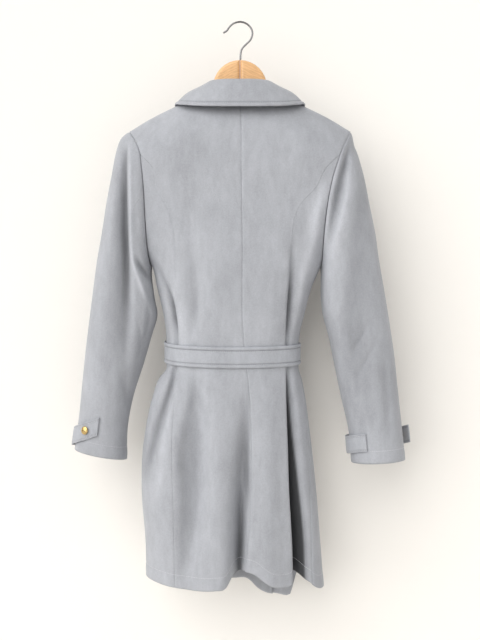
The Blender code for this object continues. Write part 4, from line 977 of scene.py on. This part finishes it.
places = np.linspace(-1, 1, 161)
for name, node, parts, flat, area in (
        ("collar_stand_band", "collar_stand", np.linspace(0, 0.365, 20), (0.035, 0.36), 0.006),
        ("collar_fall_cloth", "collar_fall", np.linspace(0.365, 1, 56), (0.08, 0.5), 0.028)):
    points = np.stack([collar_points(place, parts) for place in places], axis=1)
    down = np.gradient(points, axis=0)
    along = np.gradient(points, axis=1)
    normals = -unit(np.cross(along, down))
    shade = None
    if node == "collar_fall":
        up_edge = distance_up_from_hem(points)
        # painted shade along the fall's stitch groove
        shade = STITCH_SHADE * bell(up_edge - COLLAR_STITCH, GROOVE)
        press = COLLAR_PRESS * bell(up_edge - COLLAR_STITCH, 1.4)
        puff = -COLLAR_PRESS * bell(up_edge - COLLAR_STITCH / 2, 2.8)
        points = points - normals * (press + puff)[..., None]
        add_stitches("collar_stitches", [line_above_edge(points, normals, COLLAR_STITCH)])
    collar = add_cloth(name, points, normals, coat_suede, node, COLLAR_CLOTH, shade=shade)

# ---------------------------------------------------------------- belt
# A soft belt of two layers of the cloth, 38 mm wide, stitched 7 mm inside both edges and
# drawn round the waist. It is tied in front with two hanging ends.
BELT_CLOTH = 0.0026
BELT_WIDTH = 38.0
BELT_STAND = 3.6
BELT_STITCH = 7.0
BELT_TILT = (
    (-180, -588), (-135, -595), (-90, -598), (-45, -596), (0, -592), (60, -590), (120, -588),
    (180, -588))
belt_suede = suede("belt_suede", (0.385, 0.4, 0.435), 0.0015)
# Soft ripples where the belt is drawn tight: turn in degrees, reach, depth, slant
BELT_RIPPLES = (
    (-119, 5.0, 0.9, 9.0), (-100, 7.0, 0.5, -6.0), (-66, 8.0, 0.45, 5.0), (-40, 5.0, 0.6, 8.0),
    (-148, 6.0, 0.6, -5.0), (60, 7.0, 0.6, 6.0), (120, 7.0, 0.6, -6.0))


def belt_points(turn, drop, out):
    """Points of the band round the waist at a drop below its upper edge."""
    degrees = (np.degrees(turn) + 180) % 360 - 180
    height = smooth(BELT_TILT, degrees) - drop
    point = body_point(turn, height, False)
    way = body_point(turn + 0.01, height, False) - body_point(turn - 0.01, height, False)
    normal = unit(np.stack([way[..., 1], -way[..., 0], 0 * way[..., 0]], axis=-1))
    return point + normal * np.asarray(out)[..., None], normal


turn = np.linspace(-math.pi, math.pi, 361)[:-1]
drops = np.linspace(0, BELT_WIDTH, 41)
turn, drop = np.meshgrid(turn, drops)
edge = np.minimum(drop, BELT_WIDTH - drop)
out = BELT_STAND - bell(edge - BELT_STITCH, GROOVE) - np.exp(-edge / 1.2)
out = out + 0.8 * np.sin(np.clip(edge / BELT_STITCH, 0, 1) * math.pi)
for middle, reach, depth, slant in BELT_RIPPLES:
    lean = np.degrees(turn) - middle - slant * (drop / BELT_WIDTH - 0.5)
    out = out - depth * bell(lean, reach) * np.sin(drop / BELT_WIDTH * math.pi)
points, normals = belt_points(turn, drop, out)
# painted shade along both stitch grooves of the belt
shade = STITCH_SHADE * bell(edge - BELT_STITCH, GROOVE)
belt = add_cloth("belt_band", points, normals, belt_suede, "belt", BELT_CLOTH, True, shade)
add_stitches("belt_stitches", [line_above_edge(points, normals, up)
                               for up in (BELT_STITCH, BELT_WIDTH - BELT_STITCH)])


def dress(names, material):
    """Gives a material to solids that stay as they are."""
    for name in names:
        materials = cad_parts[name].data.materials
        materials.clear()
        materials.append(material)


dress(("belt_knot", "belt_end_left", "belt_end_right"), belt_suede)

# ---------------------------------------------------------------- cuff straps
# A short strap of doubled cloth round each cuff, 33 mm wide and stitched along its edges,
# held by a domed gold metal button.
STRAP_CLOTH = 0.0022
STRAP_WIDTH = 33.0
STRAP_STITCH = 3.5
STRAP_STAND = 2.0          # outer face of the strap above the sleeve
# Turn round the cuff in degrees, height of the strap's middle, how much further it stands off
STRAP = {
    -1: (
        (88, -742, 1.0), (60, -750, 1.2), (30, -758, 3.0), (0, -765, 5.5), (-45, -769, 2.5),
        (-90, -771, 1.2), (-135, -772, 1.2), (-150, -772, 1.2)),
    1: (
        (118, -771, 1.2), (140, -774, 1.2), (160, -777, 3.0), (180, -779, 5.5), (225, -779, 2.5),
        (270, -776, 1.2), (315, -770, 4.0), (340, -765, 11.0), (352, -762, 14.0)),
}


def sleeve_at_height(side, turn, height):
    """Place along the sleeve where its surface reaches a height."""
    turn, height = np.broadcast_arrays(turn, height)
    low, high = np.full(turn.shape, 0.4), np.ones(turn.shape)
    for _ in range(16):
        middle = (low + high) / 2
        above = sleeve_face(side, turn, middle)[0][..., 2] > height
        low, high = np.where(above, middle, low), np.where(above, high, middle)
    return (low + high) / 2


def sleeve_outward(side, turn, along, step=0.01):
    """Way straight out of the sleeve's surface."""
    later, earlier = np.minimum(along + step, 1.0), np.maximum(along - step, 0.0)
    after, before, below, above, here = (
        sleeve_face(side, *place)[0]
        for place in ((turn + step, along), (turn - step, along), (turn, later), (turn, earlier),
                      (turn, along)))
    normal = unit(np.cross(after - before, below - above))
    flip = np.sum(normal * sleeve_away(side, here, along), axis=-1) < 0
    return normal * np.where(flip, -1.0, 1.0)[..., None]


strap_lines = []
for side, word in SIDES:
    table = STRAP[side]
    degrees = np.linspace(table[0][0], table[-1][0], 120)
    drops = np.linspace(-0.5, 0.5, 25) * STRAP_WIDTH
    degrees, drop = np.meshgrid(degrees, drops)
    turn = np.radians(degrees)
    nearest = sleeve_at_height(side, turn, smooth(table, degrees, 1) - drop)
    way = sleeve_outward(side, turn, np.minimum(nearest, 0.985))
    edge = STRAP_WIDTH / 2 - np.abs(drop)
    press = 0.7 * bell(edge - STRAP_STITCH, 1.1) + 0.6 * np.exp(-edge / 0.9)
    stand = smooth(table, degrees, 2) + STRAP_STAND - press
    points = sleeve_face(side, turn, nearest)[0] + way * stand[..., None]
    strap_lines += [line_above_edge(points, way, up)
                    for up in (STRAP_STITCH, STRAP_WIDTH - STRAP_STITCH)]
    # The strap's fold_shade is painted shade along its stitch grooves.
    strap = add_cloth("cuff_strap_cloth_" + word, points, way, belt_suede,
                      "cuff_strap_" + word, STRAP_CLOTH,
                      shade=0.3 * bell(edge - STRAP_STITCH, 1.2))
add_stitches("cuff_strap_stitches", strap_lines)

# ---------------------------------------------------------------- buttons
# Domed buttons of gold-coloured metal, polished and a little tarnished, one sewn on each
# strap. Their solids stay as they are.
wear, wear_in, wear_out = new_group(
    "handled_surface",
    (("Scale", "NodeSocketFloat", 80.0), ("Smooth", "NodeSocketFloat", 0.15),
     ("Rough", "NodeSocketFloat", 0.35)),
    (("Roughness", "NodeSocketFloat"), ("Height", "NodeSocketFloat")))
smears = add_node(wear, "TexNoise", Vector=add_node(wear, "TexCoord").outputs["Object"],
                  Scale=wear_in.outputs["Scale"], Detail=5.0).outputs["Fac"]
between = add_node(wear, "MapRange", Value=smears, From_Min=0.3, From_Max=0.7,
                   To_Min=wear_in.outputs["Smooth"], To_Max=wear_in.outputs["Rough"])
set_inputs(wear, wear_out, Roughness=between.outputs["Result"], Height=smears)


def add_wear(tree, shader, scale, smoothest, roughest, depth):
    """Gives a hard material uneven gloss and a very fine bump."""
    group = place_group(tree, wear, Scale=scale, Smooth=smoothest, Rough=roughest)
    set_inputs(tree, shader, Roughness=group.outputs["Roughness"])
    add_bump(tree, shader, group.outputs["Height"], 0.5, depth)


def add_ramp(tree, value, low, high):
    """Colours between two places of a value, each given with its colour."""
    ramp = add_node(tree, "ValToRGB", Fac=value)
    for element, (position, colour) in zip(ramp.color_ramp.elements, (low, high)):
        element.position = position
        element.color = (*colour, 1)
    return ramp.outputs["Color"]


gold, tree, shader = new_material("polished_gold_metal")
tarnish = add_node(tree, "TexNoise", Scale=260.0).outputs["Fac"]
set_inputs(tree, shader, Metallic=1.0, Base_Color=add_ramp(
    tree, tarnish, (0.35, (0.34, 0.22, 0.08)), (0.55, (0.68, 0.5, 0.22))))
add_wear(tree, shader, 300.0, 0.12, 0.3, 0.0001)
dress(("cuff_button_left", "cuff_button_right"), gold)

# ---------------------------------------------------------------- wooden hanger
# Two halves of pale wood glued in the middle, with a clear varnish. The grain of each
# half slants down to its arm.
GRAIN_SLANT = 0.42          # fall of the grain for each step away from the middle
wood, tree, shader = new_material("varnished_wood")
split = add_node(tree, "SeparateXYZ", Vector=add_node(tree, "TexCoord").outputs["Object"])
fall = maths(tree, "MULTIPLY", maths(tree, "ABSOLUTE", split.outputs["X"]), GRAIN_SLANT)
grain_way = add_node(tree, "CombineXYZ", X=maths(tree, "MULTIPLY", split.outputs["X"], 0.22),
                     Y=maths(tree, "MULTIPLY", split.outputs["Y"], 1.4),
                     Z=maths(tree, "ADD", split.outputs["Z"], fall)).outputs["Vector"]
rings = add_node(tree, "TexWave", Vector=grain_way, Scale=60.0, Distortion=9.0, Detail=3.0,
                 Detail_Scale=3.0)
rings.bands_direction = "Z"
pores = add_node(tree, "TexNoise", Vector=grain_way, Scale=700.0, Detail=4.0)
tones = add_node(tree, "TexNoise", Vector=grain_way, Scale=22.0)
figure = blend(tree, (rings.outputs["Fac"], 0.16), (pores.outputs["Fac"], 0.34),
               (tones.outputs["Fac"], 0.5))
set_inputs(tree, shader, Coat_Weight=0.35, Coat_Roughness=0.15, Base_Color=add_ramp(
    tree, figure, (0.3, (0.6, 0.33, 0.14)), (0.62, (0.83, 0.5, 0.235))))
add_wear(tree, shader, 60.0, 0.3, 0.48, 0.0001)
dress(("hanger_half_left", "hanger_half_right"), wood)

# ---------------------------------------------------------------- steel hook
# Bright steel wire, bent into an open hook and screwed into the top of the wood where its
# halves meet. Its solid stays as it is.
steel, tree, shader = new_material("bright_steel")
set_inputs(tree, shader, Base_Color=(0.22, 0.22, 0.225, 1), Metallic=1.0)
add_wear(tree, shader, 220.0, 0.16, 0.34, 0.00008)
dress(("hanger_hook",), steel)
